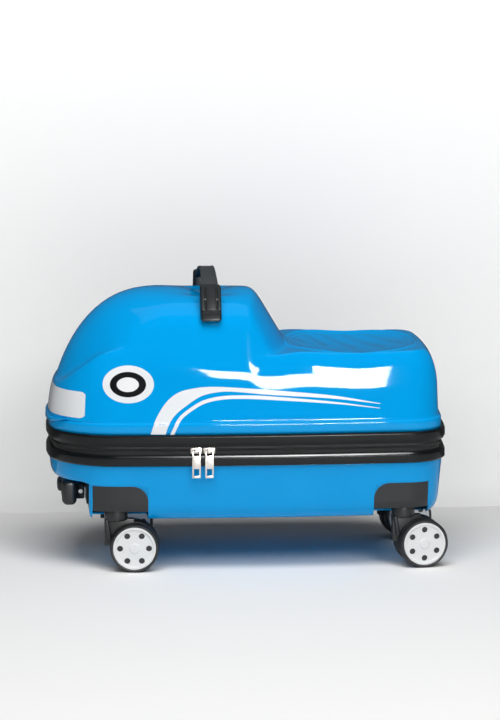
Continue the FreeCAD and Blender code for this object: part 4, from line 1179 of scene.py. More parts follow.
@dataclass
class Caster:
    """One swivel caster: fork, twin tyres and twin wheels with white discs."""

    corner: Corner
    fork_finish: bpy.types.Material
    tyre_finish: bpy.types.Material
    disc_finish: bpy.types.Material
    core_finish: bpy.types.Material
    pins: tuple[float, float, float] = (-152.0, 178.0, 78.0)
    trail: float = 21.0
    radius: float = 28.0
    width: float = 16.0
    web: float = 8.0
    gap: float = 0.5
    hole_circle: float = 16.5
    hole_radius: float = 3.4
    holes: int = 6

    @property
    def pin(self) -> Vector:
        """Foot of the kingpin on the floor."""
        return Vector((self.pins[0] if self.corner.value[1] < 0 else self.pins[1],
                       self.pins[2] * self.corner.value[2], 0.0))

    def place(self) -> Matrix:
        """Place of the caster, turned as the CAD axle lies.

        Returns:
            The place.
        """
        low, high = box_mm(f"axle_{self.corner.label}")
        middle = (low + high) / 2 - self.pin
        return Matrix.Translation(self.pin) @ Matrix.Rotation(math.atan2(middle.y, middle.x), 4, "Z")

    def wheel_place(self, way: float) -> Matrix:
        """Place of a wheel whose turned Z axis runs from its outer face inwards.

        Args:
            way: sign of Y that its disc faces.

        Returns:
            The place.
        """
        face = self.web / 2 + self.gap + self.width
        turn = Matrix.Rotation(math.radians(-90.0 if way < 0 else 90.0), 4, "X")
        first = 0.0 if self.corner.value[1] < 0 else 30.0
        spin = Matrix.Rotation(math.radians(first), 4, "Z")
        return self.place() @ Matrix.Translation((self.trail, way * face, self.radius)) @ turn @ spin

    def fork(self) -> bpy.types.Object:
        """The fork: round head, web between the wheels and a curved shin in front of them.

        Returns:
            The piece.
        """
        mesh = bmesh.new()
        head = loop_path([(4.05, 58.2, 0.2), (13.4, 58.2, 1.5), (13.5, 70.4, 1.2), (4.05, 70.4, 0.2)])
        add_turned(mesh, head, Matrix(), 48)
        add_block(mesh, (-13.2, -3.9, 29.0), (21.0, 3.9, 60.0), 1.0)
        shin = add_block(mesh, (-12.9, -9.8, 36.0), (-8.6, 9.8, 60.0), 1.6)
        for vert in shin:
            vert.co.x += 4.0 * ease(60.0 - vert.co.z, 6.0, 26.0)
        boss = loop_path([(0.0, -3.9, 0.0), (9.0, -3.9, 0.6), (9.0, 3.9, 0.6), (0.0, 3.9, 0.0)])
        axle = Matrix.Translation((self.trail, 0, self.radius)) @ Matrix.Rotation(math.pi / 2, 4, "X")
        add_turned(mesh, boss, axle, 32)
        bmesh.ops.transform(mesh, matrix=self.place(), verts=mesh.verts)
        obj = piece(f"fork_{self.corner.label}_moulding", mesh, self.fork_finish)
        finish_edges(obj, 0.3, 1, 50.0)
        return dress(obj, f"caster_{self.corner.label}", "black_plastic", f"fork_{self.corner.label}")

    def wheel(self, side: str, way: float) -> list[bpy.types.Object]:
        """One wheel of the pair: tyre, black core and white disc with its ring of holes.

        Args:
            side: outer or inner.
            way: sign of Y that its disc faces.

        Returns:
            The pieces.
        """
        label = f"{self.corner.label}_{side}"
        body = f"wheel_{label}"
        place = self.wheel_place(way)
        tread = loop_path([(24.7, 0.5, 0.2), (26.4, 0.0, 1.0), (28.0, 2.2, 2.0), (28.0, 13.8, 2.0),
                           (26.0, 16.0, 1.5), (23.0, 16.0, 0.3), (23.0, 2.3, 0.1), (24.7, 2.3, 0.1)])
        mesh = bmesh.new()
        add_turned(mesh, tread, place, 96)
        tyre = dress(piece(f"tyre_{label}_ring", mesh, self.tyre_finish), body, "tyre", f"tyre_{label}")
        mesh = bmesh.new()
        inside = loop_path([(3.1, 2.6, 0.2), (22.9, 2.6, 0.3), (22.9, 15.7, 0.4), (19.5, 15.7, 0.6),
                            (18.5, 12.0, 0.8), (9.0, 12.0, 0.8), (8.0, 15.9, 0.6), (3.1, 15.9, 0.2)])
        add_turned(mesh, inside, place, 64)
        core = dress(piece(f"hub_{label}_core", mesh, self.core_finish), body, "black_plastic")
        mesh = bmesh.new()
        face = loop_path([(0.0, 0.5, 0.0), (5.2, 0.5, 0.5), (6.0, 1.2, 0.5), (20.9, 1.2, 0.6),
                          (22.0, 0.1, 0.7), (24.4, 0.1, 0.5), (24.6, 2.4, 0.2), (0.0, 2.4, 0.0)])
        add_turned(mesh, face, place, 96)
        disc = piece(f"hub_{label}_disc", mesh, self.disc_finish)
        mesh = bmesh.new()
        for index in range(self.holes):
            turn = Matrix.Rotation(2 * math.pi * index / self.holes, 4, "Z")
            spot = place @ turn @ Matrix.Translation((self.hole_circle, 0, 1.0))
            bmesh.ops.create_cone(mesh, cap_ends=True, segments=28, radius1=self.hole_radius,
                                  radius2=self.hole_radius, depth=8.0, matrix=spot)
        cut_away(disc, piece("drill", mesh))
        finish_edges(disc, 0.35, 2, 40.0)
        dress(disc, body, "wheel_disc", f"hub_{label}")
        return [tyre, core, disc]

    def build(self) -> list[bpy.types.Object]:
        """Make the caster."""
        out = float(self.corner.value[2])
        return [self.fork(), *self.wheel("outer", out), *self.wheel("inner", -out)]


@dataclass
class CarryStrap:
    """The moulded carry strap over the hump and its two grooved end caps."""

    strap_finish: bpy.types.Material
    cap_finish: bpy.types.Material
    middle: float = -43.0
    thickness: float = 4.0
    waist: float = 0.94
    flare: float = 0.26
    apex: float = 339.0
    half: float = 74.0
    end_level: float = 316.0
    cap_width: float = 24.0
    cap_face: float = 92.0
    cap_low: float = 287.0
    cap_high: float = 327.0
    cap_lean: float = 20.0
    cap_back: float = 63.0

    def band(self) -> bpy.types.Object:
        """The strap: a bent band with rounded edges and a shallow channel along its top.

        Returns:
            The piece.
        """
        rise = self.apex - self.end_level
        radius = (self.half ** 2 + rise ** 2) / (2 * rise)
        reach = math.asin((self.half + 6.0) / radius)
        corners = [(-9.2, 0.6, 0.8), (-9.2, 3.4, 0.8), (-6.6, 4.0, 0.6), (-6.0, 3.5, 0.3), (6.0, 3.5, 0.3),
                   (6.6, 4.0, 0.6), (9.2, 3.4, 0.8), (9.2, 0.6, 0.8), (7.4, 0.0, 0.8), (-7.4, 0.0, 0.8)]
        section = loop_path(corners, 3)
        columns = []
        steps = 48
        deep = radius - self.thickness
        for index in range(steps + 1):
            turn = -reach + 2 * reach * index / steps
            wide = self.waist + self.flare * (turn / reach) ** 2
            column = []
            for across, up in section:
                arm = deep + up
                column.append(Vector((self.middle + across * wide, arm * math.sin(turn),
                                      self.apex - radius + arm * math.cos(turn))))
            columns.append(column)
        mesh = skin(columns, loop=False, ring=True)
        close_ends(mesh)
        return dress(piece("carry_strap_band", mesh, self.strap_finish), "lid", "webbing", "carry_strap")

    def cap(self, hand: str, way: float) -> bpy.types.Object:
        """One end cap: a rounded block with two upright grooves and a stepped foot.

        Args:
            hand: left or right.
            way: sign of Y that it faces.

        Returns:
            The piece.
        """
        mesh = bmesh.new()
        half = self.cap_width / 2
        low, high = sorted((way * (self.cap_face - 1.4), way * self.cap_back))
        left, right = self.middle - half, self.middle + half
        add_block(mesh, (left, low, self.cap_low), (right, high, self.cap_high), 3.5, 4)
        low, high = sorted((way * self.cap_face, way * (self.cap_face - 6.0)))
        for left, right in ((-11.2, -6.9), (-5.6, 6.0), (7.3, 11.2)):
            add_block(mesh, (self.middle + left, low, self.cap_low + 12.5),
                      (self.middle + right, high, self.cap_high - 1.5), 1.0, 3)
        left, right = self.middle - half + 0.8, self.middle + half - 0.8
        add_block(mesh, (left, low, self.cap_low + 1.0), (right, high, self.cap_low + 11.3), 2.0, 3)
        for vert in mesh.verts:
            if abs(vert.co.y) > self.cap_back + 12.0:
                share = (vert.co.z - self.cap_low) / (self.cap_high - self.cap_low)
                vert.co.y -= way * self.cap_lean * share
        obj = piece(f"strap_cap_{hand}_moulding", mesh, self.cap_finish)
        screws = ["strap_screws"] if way < 0 else []
        return dress(obj, "lid", "black_plastic", f"strap_cap_{hand}", *screws)

    def build(self) -> list[bpy.types.Object]:
        """Make the strap and its caps."""
        return [self.band(), self.cap("left", NEAR), self.cap("right", FAR)]


@dataclass
class ZipSlider:
    """One zip slider with its plated pull tab."""

    position: str
    outline: Outline
    metal: bpy.types.Material
    place_x: float
    level: float = 142.75
    pull_proud: float = 1.5

    def place(self) -> Matrix:
        """Place on the rims' near face, turned to lie along it.

        Returns:
            The place.
        """
        turn = math.asin(self.place_x / self.outline.side_radius())
        spot = Vector((self.place_x, self.outline.near_y(self.place_x), self.level))
        return Matrix.Translation(spot) @ Matrix.Rotation(turn, 4, "Z")

    def build(self) -> list[bpy.types.Object]:
        """Make the slider and its tab.

        Returns:
            The pieces.
        """
        place = self.place()
        mesh = bmesh.new()
        for vert in add_block(mesh, (-6.8, 1.5, -4.6), (6.8, 5.0, 4.6), 1.1, 3):
            vert.co.z *= 1.0 - 0.22 * ease(abs(vert.co.x), 3.0, 6.8)
        add_block(mesh, (-2.4, -3.3, -1.9), (2.4, 2.6, 1.9), 0.9, 3)
        bmesh.ops.transform(mesh, matrix=place, verts=mesh.verts)
        node = f"zip_slider_{self.position}"
        body = f"slider_{self.position}"
        slider = dress(piece(f"{node}_body", mesh, self.metal), body, "plated_zip", node)
        mesh = bmesh.new()
        near, far = -self.pull_proud - 0.7, -self.pull_proud + 0.7
        add_block(mesh, (-4.9, near, -31.0), (-2.9, far, 0.6), 0.5, 2)
        add_block(mesh, (2.9, near, -31.0), (4.9, far, 0.6), 0.5, 2)
        add_block(mesh, (-4.2, near, -31.0), (4.2, far, -28.0), 0.5, 2)
        add_block(mesh, (-4.2, near, -20.4), (4.2, far, -5.0), 0.5, 2)
        pin = loop_path([(0.0, -4.7, 0.0), (1.0, -4.7, 0.2), (1.0, 4.7, 0.2), (0.0, 4.7, 0.0)])
        lying = Matrix.Translation((0, -self.pull_proud, 0)) @ Matrix.Rotation(math.pi / 2, 4, "Y")
        add_turned(mesh, pin, lying, 16)
        bmesh.ops.transform(mesh, matrix=place, verts=mesh.verts)
        node = f"zip_pull_{self.position}"
        tab = dress(piece(f"{node}_tab", mesh, self.metal), f"pull_{self.position}", "plated_zip", node)
        return [slider, tab]


@dataclass
class Trolley:
    """The pull handle under the chin: moulded grip with its button, and the bezel round the tubes."""

    grip_finish: bpy.types.Material
    button_finish: bpy.types.Material
    depth: float = 17.0
    half: float = 58.0
    leg_y: float = 38.0
    leg_half: float = 10.5
    level: float = 86.0
    height: float = 30.0
    button_half: float = 15.0
    button_travel: float = 3.5
    button_gap: float = 0.3

    def grip(self) -> bpy.types.Object:
        """The grip bar, waisted for the fingers, with its two legs.

        Returns:
            The piece.
        """
        low, high = box_mm("trolley_grip")
        mesh = bmesh.new()
        bar = add_block(mesh, (low.x, -self.half, self.level - self.height / 2),
                        (low.x + self.depth, self.half, self.level + self.height / 2), 6.3, 6)
        for vert in bar:
            waist = 1.0 - ease(abs(vert.co.y), 16.0, 50.0)
            vert.co.z = self.level + (vert.co.z - self.level) * (1.0 - 0.06 * waist)
        for way in (NEAR, FAR):
            add_block(mesh, (low.x + self.depth * 0.6, way * self.leg_y - self.leg_half, self.level - 9.0),
                      (high.x, way * self.leg_y + self.leg_half, self.level + 9.0), 1.8, 4)
        obj = piece("trolley_grip_moulding", mesh, self.grip_finish)
        self.cut_pocket(obj)
        return dress(obj, "trolley_handle", "black_plastic", "trolley_grip")

    def cut_pocket(self, grip: bpy.types.Object) -> None:
        """Cut the pocket that the button sinks into.

        Args:
            grip: the grip moulding.
        """
        low, high = box_mm("trolley_button")
        gap = self.button_gap
        deep = high.x + self.button_travel + gap
        side = self.button_half + gap
        mesh = bmesh.new()
        add_block(mesh, (low.x - 6.0, -side, low.z - gap), (deep, side, high.z + gap), 2.5, 4)
        cut_away(grip, piece("pocket_cutter", mesh), overlaps=True)

    def button(self) -> bpy.types.Object:
        """The push button: a rounded block with three ribs.

        Returns:
            The piece.
        """
        low, high = box_mm("trolley_button")
        mesh = bmesh.new()
        add_block(mesh, (low.x + 0.4, -self.button_half, low.z), (high.x, self.button_half, high.z), 3.0, 5)
        for offset in (-5.0, 0.0, 5.0):
            add_block(mesh, (low.x, offset - 1.0, self.level - 4.0),
                      (low.x + 2.0, offset + 1.0, self.level + 4.0), 0.4, 2)
        obj = piece("trolley_button_cap", mesh, self.button_finish)
        return dress(obj, "trolley_push", "black_plastic", "trolley_button")

    def bezel(self) -> bpy.types.Object:
        """The bezel: a rounded plate with a raised lip round each tube.

        Returns:
            The piece.
        """
        low, high = box_mm("trolley_bezel")
        mesh = bmesh.new()
        add_block(mesh, (low.x + 0.8, low.y, low.z), (high.x, high.y, high.z), 1.0, 3)
        for way in (NEAR, FAR):
            for side in (-1.0, 1.0):
                middle = way * self.leg_y + side * 11.5
                add_block(mesh, (low.x, middle - 1.5, self.level - 9.0),
                          (high.x, middle + 1.5, self.level + 9.0), 0.5)
                edge = self.level + side * 8.0
                add_block(mesh, (low.x, way * self.leg_y - 12.0, edge - 1.2),
                          (high.x, way * self.leg_y + 12.0, edge + 1.2), 0.5)
        obj = piece("trolley_bezel_plate", mesh, self.grip_finish)
        return dress(obj, "base", "black_plastic", "trolley_bezel")

    def build(self) -> list[bpy.types.Object]:
        """Make the pieces of the handle."""
        return [self.grip(), self.button(), self.bezel()]


@dataclass
class Linings:
    """The sewn cloth inside both shells, with the packing straps and their buckle."""

    outline: Outline
    cloth: bpy.types.Material
    webbing: bpy.types.Material
    buckle_finish: bpy.types.Material
    thickness: float = 1.2
    pitch: float = 7.0
    floor_rows: int = 12
    bolt_width: float = 0.5
    cutting_waste: float = 1.25
    strap_gap: float = 21.0

    def sheet(self, name: str, body: str, node_name: str, rows: Sequence[tuple[float, float, float]],
              nose_lean: float = 0.0) -> bpy.types.Object:
        """One lining, cut from cloth and held all round.

        Args:
            name: name of the piece.
            body: body it rides on.
            node_name: node it stands for.
            rows: inset, height and radius of each corner of its section, from the mouth to the middle.
            nose_lean: how much further in its last corner lies at the nose.

        Returns:
            The piece.
        """
        columns = []
        for station in self.outline.stations(lambda x: self.pitch):
            inset, height, radius = rows[-1]
            inset += nose_lean * max(0.0, station.inward.x)
            path = rounded_path([*rows[:-1], (inset, height, radius), (station.reach(), height, 0.0)])
            points = [station.at(d, z) for d, z in path]
            shares = [(i + 1) / self.floor_rows for i in range(self.floor_rows)]
            columns.append(points[:-1] + [points[-2].lerp(points[-1], share) for share in shares])
        mesh = skin(columns)
        area = sum(face.calc_area() for face in mesh.faces) * MM * MM
        obj = piece(name, mesh, self.cloth)
        thicken(obj, self.thickness)
        dress(obj, body, "lining", node_name)
        return obj

    def straps(self) -> bpy.types.Object:
        """The packing straps: flat webbing with sewn ends that lies on the floor of the base.

        Returns:
            The piece.
        """
        low, high = box_mm("packing_straps")
        mesh = bmesh.new()
        for start, end in ((low.y, -self.strap_gap), (self.strap_gap, high.y)):
            add_block(mesh, (low.x, start, low.z), (high.x, end, high.z), 0.5, 2)
            edge = start if start < 0 else end - 8.0
            add_block(mesh, (low.x + 1.0, edge, high.z - 0.2),
                      (high.x - 1.0, edge + 8.0, high.z + 0.7), 0.3, 1)
        obj = piece("packing_straps_webbing", mesh, self.webbing)
        return dress(obj, "base", "webbing", "packing_straps")

    def buckle(self) -> bpy.types.Object:
        """The side-release buckle: a rounded body with two sprung prongs and a bar at each end.

        Returns:
            The piece.
        """
        low, high = box_mm("strap_buckle")
        mesh = bmesh.new()
        middle = (low.x + high.x) / 2
        add_block(mesh, (low.x + 3.0, low.y + 9.0, low.z), (high.x - 3.0, high.y - 9.0, high.z), 2.0, 4)
        for way in (NEAR, FAR):
            near, far = sorted((way * (high.y - 10.0), way * high.y))
            add_block(mesh, (low.x + 1.0, near, low.z + 0.6), (high.x - 1.0, far, high.z - 1.4), 1.6, 3)
            side = middle + way * 13.0
            add_block(mesh, (side - 3.0, low.y + 12.0, low.z + 1.5),
                      (side + 3.0, high.y - 14.0, high.z - 1.5), 1.2, 3)
        obj = piece("strap_buckle_body", mesh, self.buckle_finish)
        return dress(obj, "base", "black_plastic", "strap_buckle")

    def build(self) -> list[bpy.types.Object]:
        """Make the linings and what is sewn to them.

        Returns:
            The pieces.
        """
        lower = self.sheet("lower_lining_cloth", "base", "lower_lining",
                           [(6.4, 125.5, 0.0), (8.6, 106.2, 9.0)])
        upper = self.sheet("upper_lining_cloth", "lid", "upper_lining",
                           [(11.2, 160.8, 0.0), (20.0, 236.0, 24.0)], 48.0)
        return [lower, upper, self.straps(), self.buckle()]


@dataclass
class Trim:
    """Printed trim on the upper shell: oval lamp motif, twin stripes and a plain bumper panel."""

    shell: bpy.types.Object
    white: bpy.types.Material
    dark: bpy.types.Material
    grey: bpy.types.Material
    outline: Outline
    proud: float = 0.12
    bumper_end: float = -189.0
    bumper_level: float = 193.0
    bumper_half: float = 15.0
    lamp: tuple[float, float, float, float] = (-137.8, 217.6, 29.0, 21.2)
    lens: tuple[float, float, float, float] = (-138.2, 217.4, 20.5, 14.2)
    glass: tuple[float, float, float, float] = (-138.4, 217.3, 12.5, 8.2)
    wide_outer: tuple[tuple[float, float], ...] = (
        (-113.2, 161.6), (-106.3, 179.9), (-94.3, 198.2), (-80.9, 208.3), (-64.3, 212.7), (-46.2, 214.4),
        (-22.4, 213.6), (21.9, 210.2), (94.8, 202.8), (149.6, 193.0))
    wide_inner: tuple[tuple[float, float], ...] = (
        (-96.2, 161.4), (-92.8, 171.2), (-84.8, 183.1), (-72.3, 193.3), (-56.4, 203.5), (-39.4, 207.9),
        (-22.4, 208.8), (21.9, 204.8), (94.8, 199.4), (147.5, 192.6))
    thin_outer: tuple[tuple[float, float], ...] = (
        (-91.0, 161.4), (-81.4, 179.6), (-68.9, 190.3), (-53.0, 199.3), (-31.5, 203.9), (-6.5, 204.5),
        (21.9, 203.1), (94.8, 195.9), (148.5, 188.0))
    thin_width: float = 4.0
    stripe_steps: int = 260

    def finder(self) -> BVHTree:
        """Search tree of the shell.

        Returns:
            The tree.
        """
        mesh = bmesh.new()
        mesh.from_object(self.shell, bpy.context.evaluated_depsgraph_get())
        tree = BVHTree.FromBMesh(mesh)
        mesh.free()
        return tree

    def lay(self, name: str, mesh: bmesh.types.BMesh, finish: bpy.types.Material, tree: BVHTree, lift: float,
            way: float) -> bpy.types.Object:
        """Press a flat print, drawn in X and Z, on to one side of the shell.

        Args:
            name: name of the piece.
            mesh: the flat print in millimetres, at Y nought.
            finish: its material.
            tree: search tree of the shell.
            lift: how far it stands proud, in millimetres.
            way: sign of Y of the side.

        Returns:
            The piece.
        """
        aim = Vector((0.0, -way, 0.0))
        for vert in mesh.verts:
            start = Vector((vert.co.x * MM, way * 0.3, vert.co.z * MM))
            spot, normal, _, _ = tree.ray_cast(start, aim)
            if spot is None:
                spot, normal, _, _ = tree.find_nearest(Vector((vert.co.x * MM, way * 0.1, vert.co.z * MM)))
            out = normal if normal.dot(aim) < 0 else -normal
            vert.co = (spot + out * lift * MM) / MM
        for face in mesh.faces:
            if face.normal.y * way < 0:
                face.normal_flip()
        obj = piece(name, mesh, finish)
        return dress(obj, "lid", "blue_shell")

    def oval(self, shape: tuple[float, float, float, float]) -> bmesh.types.BMesh:
        """A flat oval of concentric rings.

        Args:
            shape: X and Z of its middle, and its half sizes.

        Returns:
            The oval in millimetres, at Y nought.
        """
        x, z, wide, tall = shape
        mesh = bmesh.new()
        bmesh.ops.create_circle(mesh, cap_ends=False, segments=64, radius=0.02)
        edge = list(mesh.edges)
        rings = 10
        for number in range(1, rings + 1):
            ring = bmesh.ops.extrude_edge_only(mesh, edges=edge)["geom"]
            verts = [v for v in ring if isinstance(v, bmesh.types.BMVert)]
            for vert in verts:
                unit = vert.co.normalized()
                vert.co = unit * (number / rings)
            edges = [e for e in ring if isinstance(e, bmesh.types.BMEdge)]
            edge = [e for e in edges if all(v in verts for v in e.verts)]
        for vert in mesh.verts:
            vert.co = Vector((x + vert.co.x * wide, 0.0, z + vert.co.y * tall))
        bmesh.ops.holes_fill(mesh, edges=[e for e in mesh.edges if e.is_boundary], sides=64)
        bmesh.ops.recalc_face_normals(mesh, faces=mesh.faces)
        return mesh

    def stripe(self, outer: Sequence[tuple[float, float]],
               inner: Sequence[tuple[float, float]]) -> bmesh.types.BMesh:
        """A flat stripe between two edges that run from the foot of the shell to a tip.

        Args:
            outer: points of its outer edge, in X and Z.
            inner: points of its inner edge.

        Returns:
            The stripe in millimetres, at Y nought.
        """
        outer_line = self.smooth(outer, self.stripe_steps)
        inner_line = self.smooth(inner, self.stripe_steps)
        columns = [[one.lerp(two, i / 5) for i in range(6)] for one, two in zip(outer_line, inner_line)]
        return skin(columns, loop=False)

    @staticmethod
    def smooth(points: Sequence[tuple[float, float]], count: int) -> list[Vector]:
        """Even points along a smooth line.

        Args:
            points: points that it goes through, in X and Z.
            count: steps along it.

        Returns:
            The points, at Y nought.
        """
        lengths = [0.0]
        for (xa, za), (xb, zb) in zip(points, points[1:]):
            lengths.append(lengths[-1] + math.hypot(xb - xa, zb - za))
        xs = [(s, p[0]) for s, p in zip(lengths, points)]
        zs = [(s, p[1]) for s, p in zip(lengths, points)]
        places = [lengths[-1] * i / count for i in range(count + 1)]
        return [Vector((through(xs, s), 0.0, through(zs, s))) for s in places]

    def thin_inner(self) -> list[tuple[float, float]]:
        """Inner edge of the thin stripe, a set width inside its outer edge up to the tip.

        Returns:
            Its points, in X and Z.
        """
        edge = []
        last = len(self.thin_outer) - 1
        for index, (x, z) in enumerate(self.thin_outer):
            xa, za = self.thin_outer[max(index - 1, 0)]
            xb, zb = self.thin_outer[min(index + 1, last)]
            along = Vector((xb - xa, zb - za)).normalized()
            width = self.thin_width * (1 - ease(index, last - 2, last) * 0.85)
            edge.append((x + along.y * width, z - along.x * width))
        return edge

    def bumper(self, tree: BVHTree) -> bpy.types.Object:
        """A plain white panel that wraps round the nose, with rounded ends on both sides.

        Args:
            tree: search tree of the shell.

        Returns:
            The piece.
        """
        ring = [s for s in self.outline.stations(lambda x: 3.0) if s.point.x < self.bumper_end]
        first = max(range(len(ring)), key=lambda i: (ring[i].point - ring[i - 1].point).length)
        ring = ring[first:] + ring[:first]
        columns = []
        for station in ring:
            ahead = min(1.0, max(0.0, (station.point.x - self.bumper_end) / 8.0 + 1))
            tip = 1 - 0.5 * (1 - math.sqrt(1 - ahead ** 2))
            column = []
            inward = Vector((station.inward.x, station.inward.y, 0.0))
            for row in range(17):
                level = self.bumper_level + self.bumper_half * tip * (row / 8 - 1)
                spot = tree.ray_cast(station.at(-40.0, level) * MM, inward)[0]
                column.append((spot - inward * self.proud * MM) / MM)
            columns.append(column)
        return dress(piece("print_bumper", skin(columns, loop=False), self.white), "lid", "blue_shell")

    def build(self) -> list[bpy.types.Object]:
        """Make the bumper panel and the prints of both sides.

        Returns:
            The pieces.
        """
        tree = self.finder()
        pieces = [self.bumper(tree)]
        for hand, way in (("left", NEAR), ("right", FAR)):
            for name, mesh, finish, lift in (
                    ("lamp", self.oval(self.lamp), self.white, 1.0),
                    ("lens", self.oval(self.lens), self.dark, 2.0),
                    ("glass", self.oval(self.glass), self.grey, 3.0),
                    ("wide_stripe", self.stripe(self.wide_outer, self.wide_inner), self.white, 1.0),
                    ("thin_stripe", self.stripe(self.thin_outer, self.thin_inner()), self.white, 1.0)):
                pieces.append(self.lay(f"print_{name}_{hand}", mesh, finish, tree, lift * self.proud, way))
        return pieces


@dataclass
class Studio:
    """Camera at the photograph's place, pale floor and wall, and soft light."""

    distance: float = 4.2
    azimuth: float = -4.0
    elevation: float = 10.0
    aim: tuple[float, float, float] = (0.0, 0.0, 0.15)
    aim_pixel: tuple[float, float] = (243.8, 427.0)
    frame: tuple[int, int] = (500, 720)
    focal_pixels: float = 3608.0
    sensor: float = 24.0
    floor_colour: str = "F1F1F0"
    wall_colour: str = "FBFBFA"
    wall_y: float = 260.0
    room: float = 5000.0

    def camera(self) -> bpy.types.Object:
        """The camera, turned so that its aim falls on the measured pixel.

        Returns:
            The camera.
        """
        azimuth, elevation = math.radians(self.azimuth), math.radians(self.elevation)
        out = Vector((math.sin(azimuth) * math.cos(elevation), -math.cos(azimuth) * math.cos(elevation),
                      math.sin(elevation)))
        right = Vector((0, 0, 1)).cross(out).normalized()
        up = out.cross(right)
        turn = math.atan((self.aim_pixel[0] - self.frame[0] / 2) / self.focal_pixels)
        tilt = math.atan((self.aim_pixel[1] - self.frame[1] / 2) / self.focal_pixels)
        basis = Matrix((right, up, out)).transposed().to_4x4()
        data = bpy.data.cameras.new("camera")
        data.sensor_fit = "VERTICAL"
        data.sensor_height = self.sensor
        data.lens = self.focal_pixels / self.frame[1] * self.sensor
        obj = bpy.data.objects.new("camera", data)
        spot = Vector(self.aim) + out * self.distance
        obj.matrix_world = (Matrix.Translation(spot) @ basis @ Matrix.Rotation(tilt, 4, "X")
                            @ Matrix.Rotation(turn, 4, "Y"))
        bpy.context.collection.objects.link(obj)
        bpy.context.scene.camera = obj
        return obj

    def lamp(self, name: str, place: Sequence[float], aim: Sequence[float], size: tuple[float, float],
             power: float, mirrored: bool) -> bpy.types.Object:
        """A rectangular softbox, either for plain light or for the mirror image on glossy faces.

        Args:
            name: name of the lamp.
            place: where it hangs, in metres.
            aim: what it points at.
            size: its width and height.
            power: its power in watts.
            mirrored: whether glossy faces mirror it, and matt light is left to the others.

        Returns:
            The lamp.
        """
        data = bpy.data.lights.new(name, "AREA")
        data.shape = "RECTANGLE"
        data.size, data.size_y = size
        data.energy = power
        obj = bpy.data.objects.new(name, data)
        obj.location = place
        obj.rotation_euler = (Vector(aim) - Vector(place)).to_track_quat("-Z", "Y").to_euler()
        obj.visible_glossy = mirrored
        obj.visible_diffuse = not mirrored
        bpy.context.collection.objects.link(obj)
        return obj

    def backdrop(self) -> list[bpy.types.Object]:
        """Painted floor and wall; the wall throws no light back, so the gap behind the case stays dark.

        Returns:
            Both pieces.
        """
        paint = Paper("matt_wall_paint", self.floor_colour, 0.9, gloss=0.1, wall=self.wall_colour).build()
        made = []
        foot = (self.wall_y, 0.0)
        for name, rows, front in (("floor", ((-self.room, 0.0), foot), Vector((0, 0, 1))),
                                  ("wall", (foot, (self.wall_y, self.room)), Vector((0, -1, 0)))):
            columns = [[Vector((x, y, z)) for y, z in rows] for x in (-self.room, self.room)]
            mesh = skin(columns, loop=False)
            mesh.normal_update()
            bmesh.ops.reverse_faces(mesh, faces=[f for f in mesh.faces if f.normal.dot(front) < 0])
            obj = piece(name, mesh, paint)
            obj.visible_diffuse = name == "floor"
            obj.visible_glossy = name == "floor"
            made.append(obj)
        return made

    def build(self) -> None:
        """Set the view, the lamps and the backdrop."""
        scene = bpy.context.scene
        scene.view_settings.view_transform = "Standard"
        self.camera()
        self.backdrop()
        # Softboxes that light matt faces
        self.lamp("key", (1.2, -2.4, 2.0), (0.0, 0.0, 0.2), (1.2, 0.9), 24.0, False)
        self.lamp("fill", (-1.5, -2.8, 2.2), (0.0, 0.2, 0.3), (2.0, 1.2), 20.0, False)
        self.lamp("top", (0.0, -1.2, 2.5), (0.0, 0.0, 0.15), (2.0, 1.2), 54.0, False)
        # Bright shapes that only the glossy faces mirror
        self.lamp("window", (0.52, -2.2, 0.82), (0.52, 0.0, 0.82), (0.23, 0.62), 30.0, True)
        self.lamp("sill", (0.215, -2.2, 0.67), (0.215, 0.0, 0.67), (0.38, 0.32), 24.0, True)
        self.lamp("ceiling", (0.0, 0.0, 3.0), (0.0, 0.0, 0.0), (3.4, 2.6), 16.0, True)
        world = bpy.data.worlds.new("studio")
        world.use_nodes = True
        world.node_tree.nodes["Background"].inputs["Color"].default_value = linear("F6F6F6")
        world.node_tree.nodes["Background"].inputs["Strength"].default_value = 0.08
        scene.world = world


def coat_nodes(frame: dict, names: Iterable[str], finish: bpy.types.Material) -> None:
    """Give carried-over CAD nodes a finish.

    Args:
        frame: the loaded frame.
        names: nodes to coat.
        finish: their material.
    """
    for name in names:
        obj = frame["nodes"][name]
        if not obj.material_slots:
            obj.data.materials.append(finish)
        for slot in obj.material_slots:
            slot.material = finish


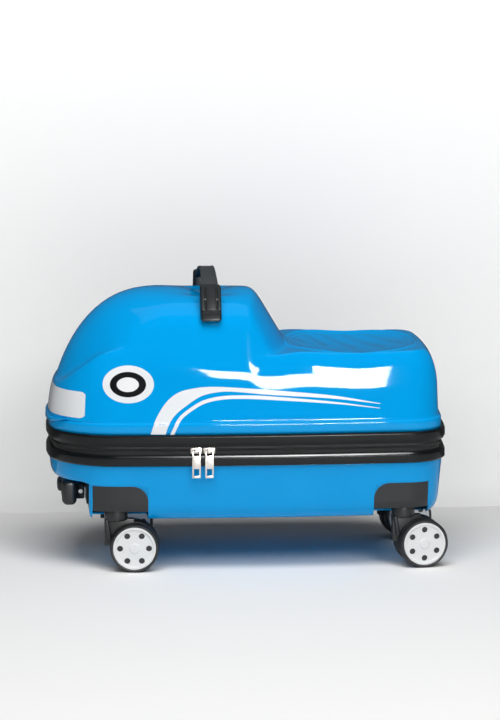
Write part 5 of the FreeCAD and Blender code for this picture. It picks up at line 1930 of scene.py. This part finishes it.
def main() -> None:
    """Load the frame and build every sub-assembly."""
    logging.basicConfig(level=logging.INFO, format="%(message)s")
    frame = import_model()

    # Pressed ABS sheet: deep even blue under a hard gloss that mirrors the lamps
    blue = Moulded("pressed_abs_blue", "009FE6", 0.04, gloss=0.2, grain=Grain.POLISHED,
                   shade="0099E0").build()
    # Moulded ABS of the rims: black with a satin haze
    rim = Moulded("moulded_abs_rim", "0B0F11", 0.22, gloss=0.3, grain=Grain.SATIN, shade="0F1416").build()
    # Moulded polypropylene of casters, caps and grip: dark grey, fine spark-eroded pits
    housing = Moulded("moulded_polypropylene", "1B1E20", 0.36, grain=Grain.SPARKED, shade="222628").build()
    # Cast polyurethane of the tyres: near black and dull
    tyre = Moulded("cast_polyurethane", "191B1D", 0.52, grain=Grain.SPARKED, shade="202325").build()
    # Moulded ABS of the wheel discs: off-white with a soft gloss
    disc = Moulded("moulded_abs_disc", "E6E8E8", 0.3, grain=Grain.SATIN, shade="DDDFE0").build()
    # Thermoplastic rubber of the carry strap: dark grey, with a dull skin
    strap = Moulded("thermoplastic_rubber", "4A4E50", 0.42, grain=Grain.SPARKED, shade="303436").build()
    # Screen-printed ink under clear lacquer: white and black, nearly as glossy as the shell
    white = Moulded("printed_ink_white", "E9ECEF", 0.12, gloss=0.3, grain=Grain.POLISHED,
                    shade="E4E8EC").build()
    dark = Moulded("printed_ink_black", "0E1012", 0.12, gloss=0.3, grain=Grain.POLISHED,
                   shade="14171A").build()
    # Woven polyester of the zip tape, the linings and the packing straps: matt threads
    tape = Woven("woven_zip_tape", "15191B", 0.7, shade="22272A", thread=1.1).build()
    cloth = Woven("woven_lining", "3C4650", 0.75, shade="4A555F", thread=1.6, rise=0.2).build()
    webbing = Woven("woven_webbing", "1D2225", 0.65, shade="2A3034", thread=2.0, rise=0.3).build()
    # Nylon monofilament of the zip coil: black with a slight shine
    coil = Moulded("nylon_coil", "14181A", 0.35, grain=Grain.SATIN, shade="1A1F22").build()
    # Plated zinc of the sliders, a bright warm grey; plated screws and pins and anodised tubes, cool greys
    plate = Metal("plated_zinc", "E8E2DC", 0.34, metallic=1.0, shade="D8D2CC").build()
    steel = Metal("zinc_plated_steel", "B9BCBE", 0.3, metallic=1.0, shade="A2A5A8").build()
    alloy = Metal("anodised_aluminium", "C3C6C9", 0.3, metallic=1.0, shade="B2B5B8",
                  stretch=(0.03, 1, 1)).build()

    low, high = box_mm("lower_rim")
    outline = Outline(half_length=(high.x - low.x) / 2, half_width=(high.y - low.y) / 2)
    shell = UpperShell(outline, blue).build()
    groups = {
        "upper shell": [shell],
        "lower shell": [LowerShell(outline, blue).build()],
        "zip band": ZipBand(outline, rim, tape, coil).build(),
        "carry strap": CarryStrap(strap, housing).build(),
        "trolley": Trolley(housing, housing).build(),
        "linings": Linings(outline, cloth, webbing, housing).build(),
        "front slider": ZipSlider("front", outline, plate, -61.6).build(),
        "rear slider": ZipSlider("rear", outline, plate, -46.9).build(),
        "trim": Trim(shell, white, dark, disc, outline).build(),
    }
    for corner in Corner:
        groups[f"caster {corner.label}"] = Caster(corner, housing, tyre, disc, housing).build()
    for label, pieces in groups.items():
        LOG.info("%s: %s", label, ", ".join(obj.name for obj in pieces))

    corners = [corner.label for corner in Corner]
    axles = [f"axle_{label}" for label in corners]
    coat_nodes(frame, ["trolley_bracket", *[f"housing_{label}" for label in corners]], housing)
    coat_nodes(frame, ["housing_screws", "kingpins", "grip_screws", *axles], steel)
    coat_nodes(frame, ["trolley_outer_tubes", "trolley_middle_tubes", "trolley_inner_rods"], alloy)
    Studio().build()


if __name__ == "__main__":
    main()
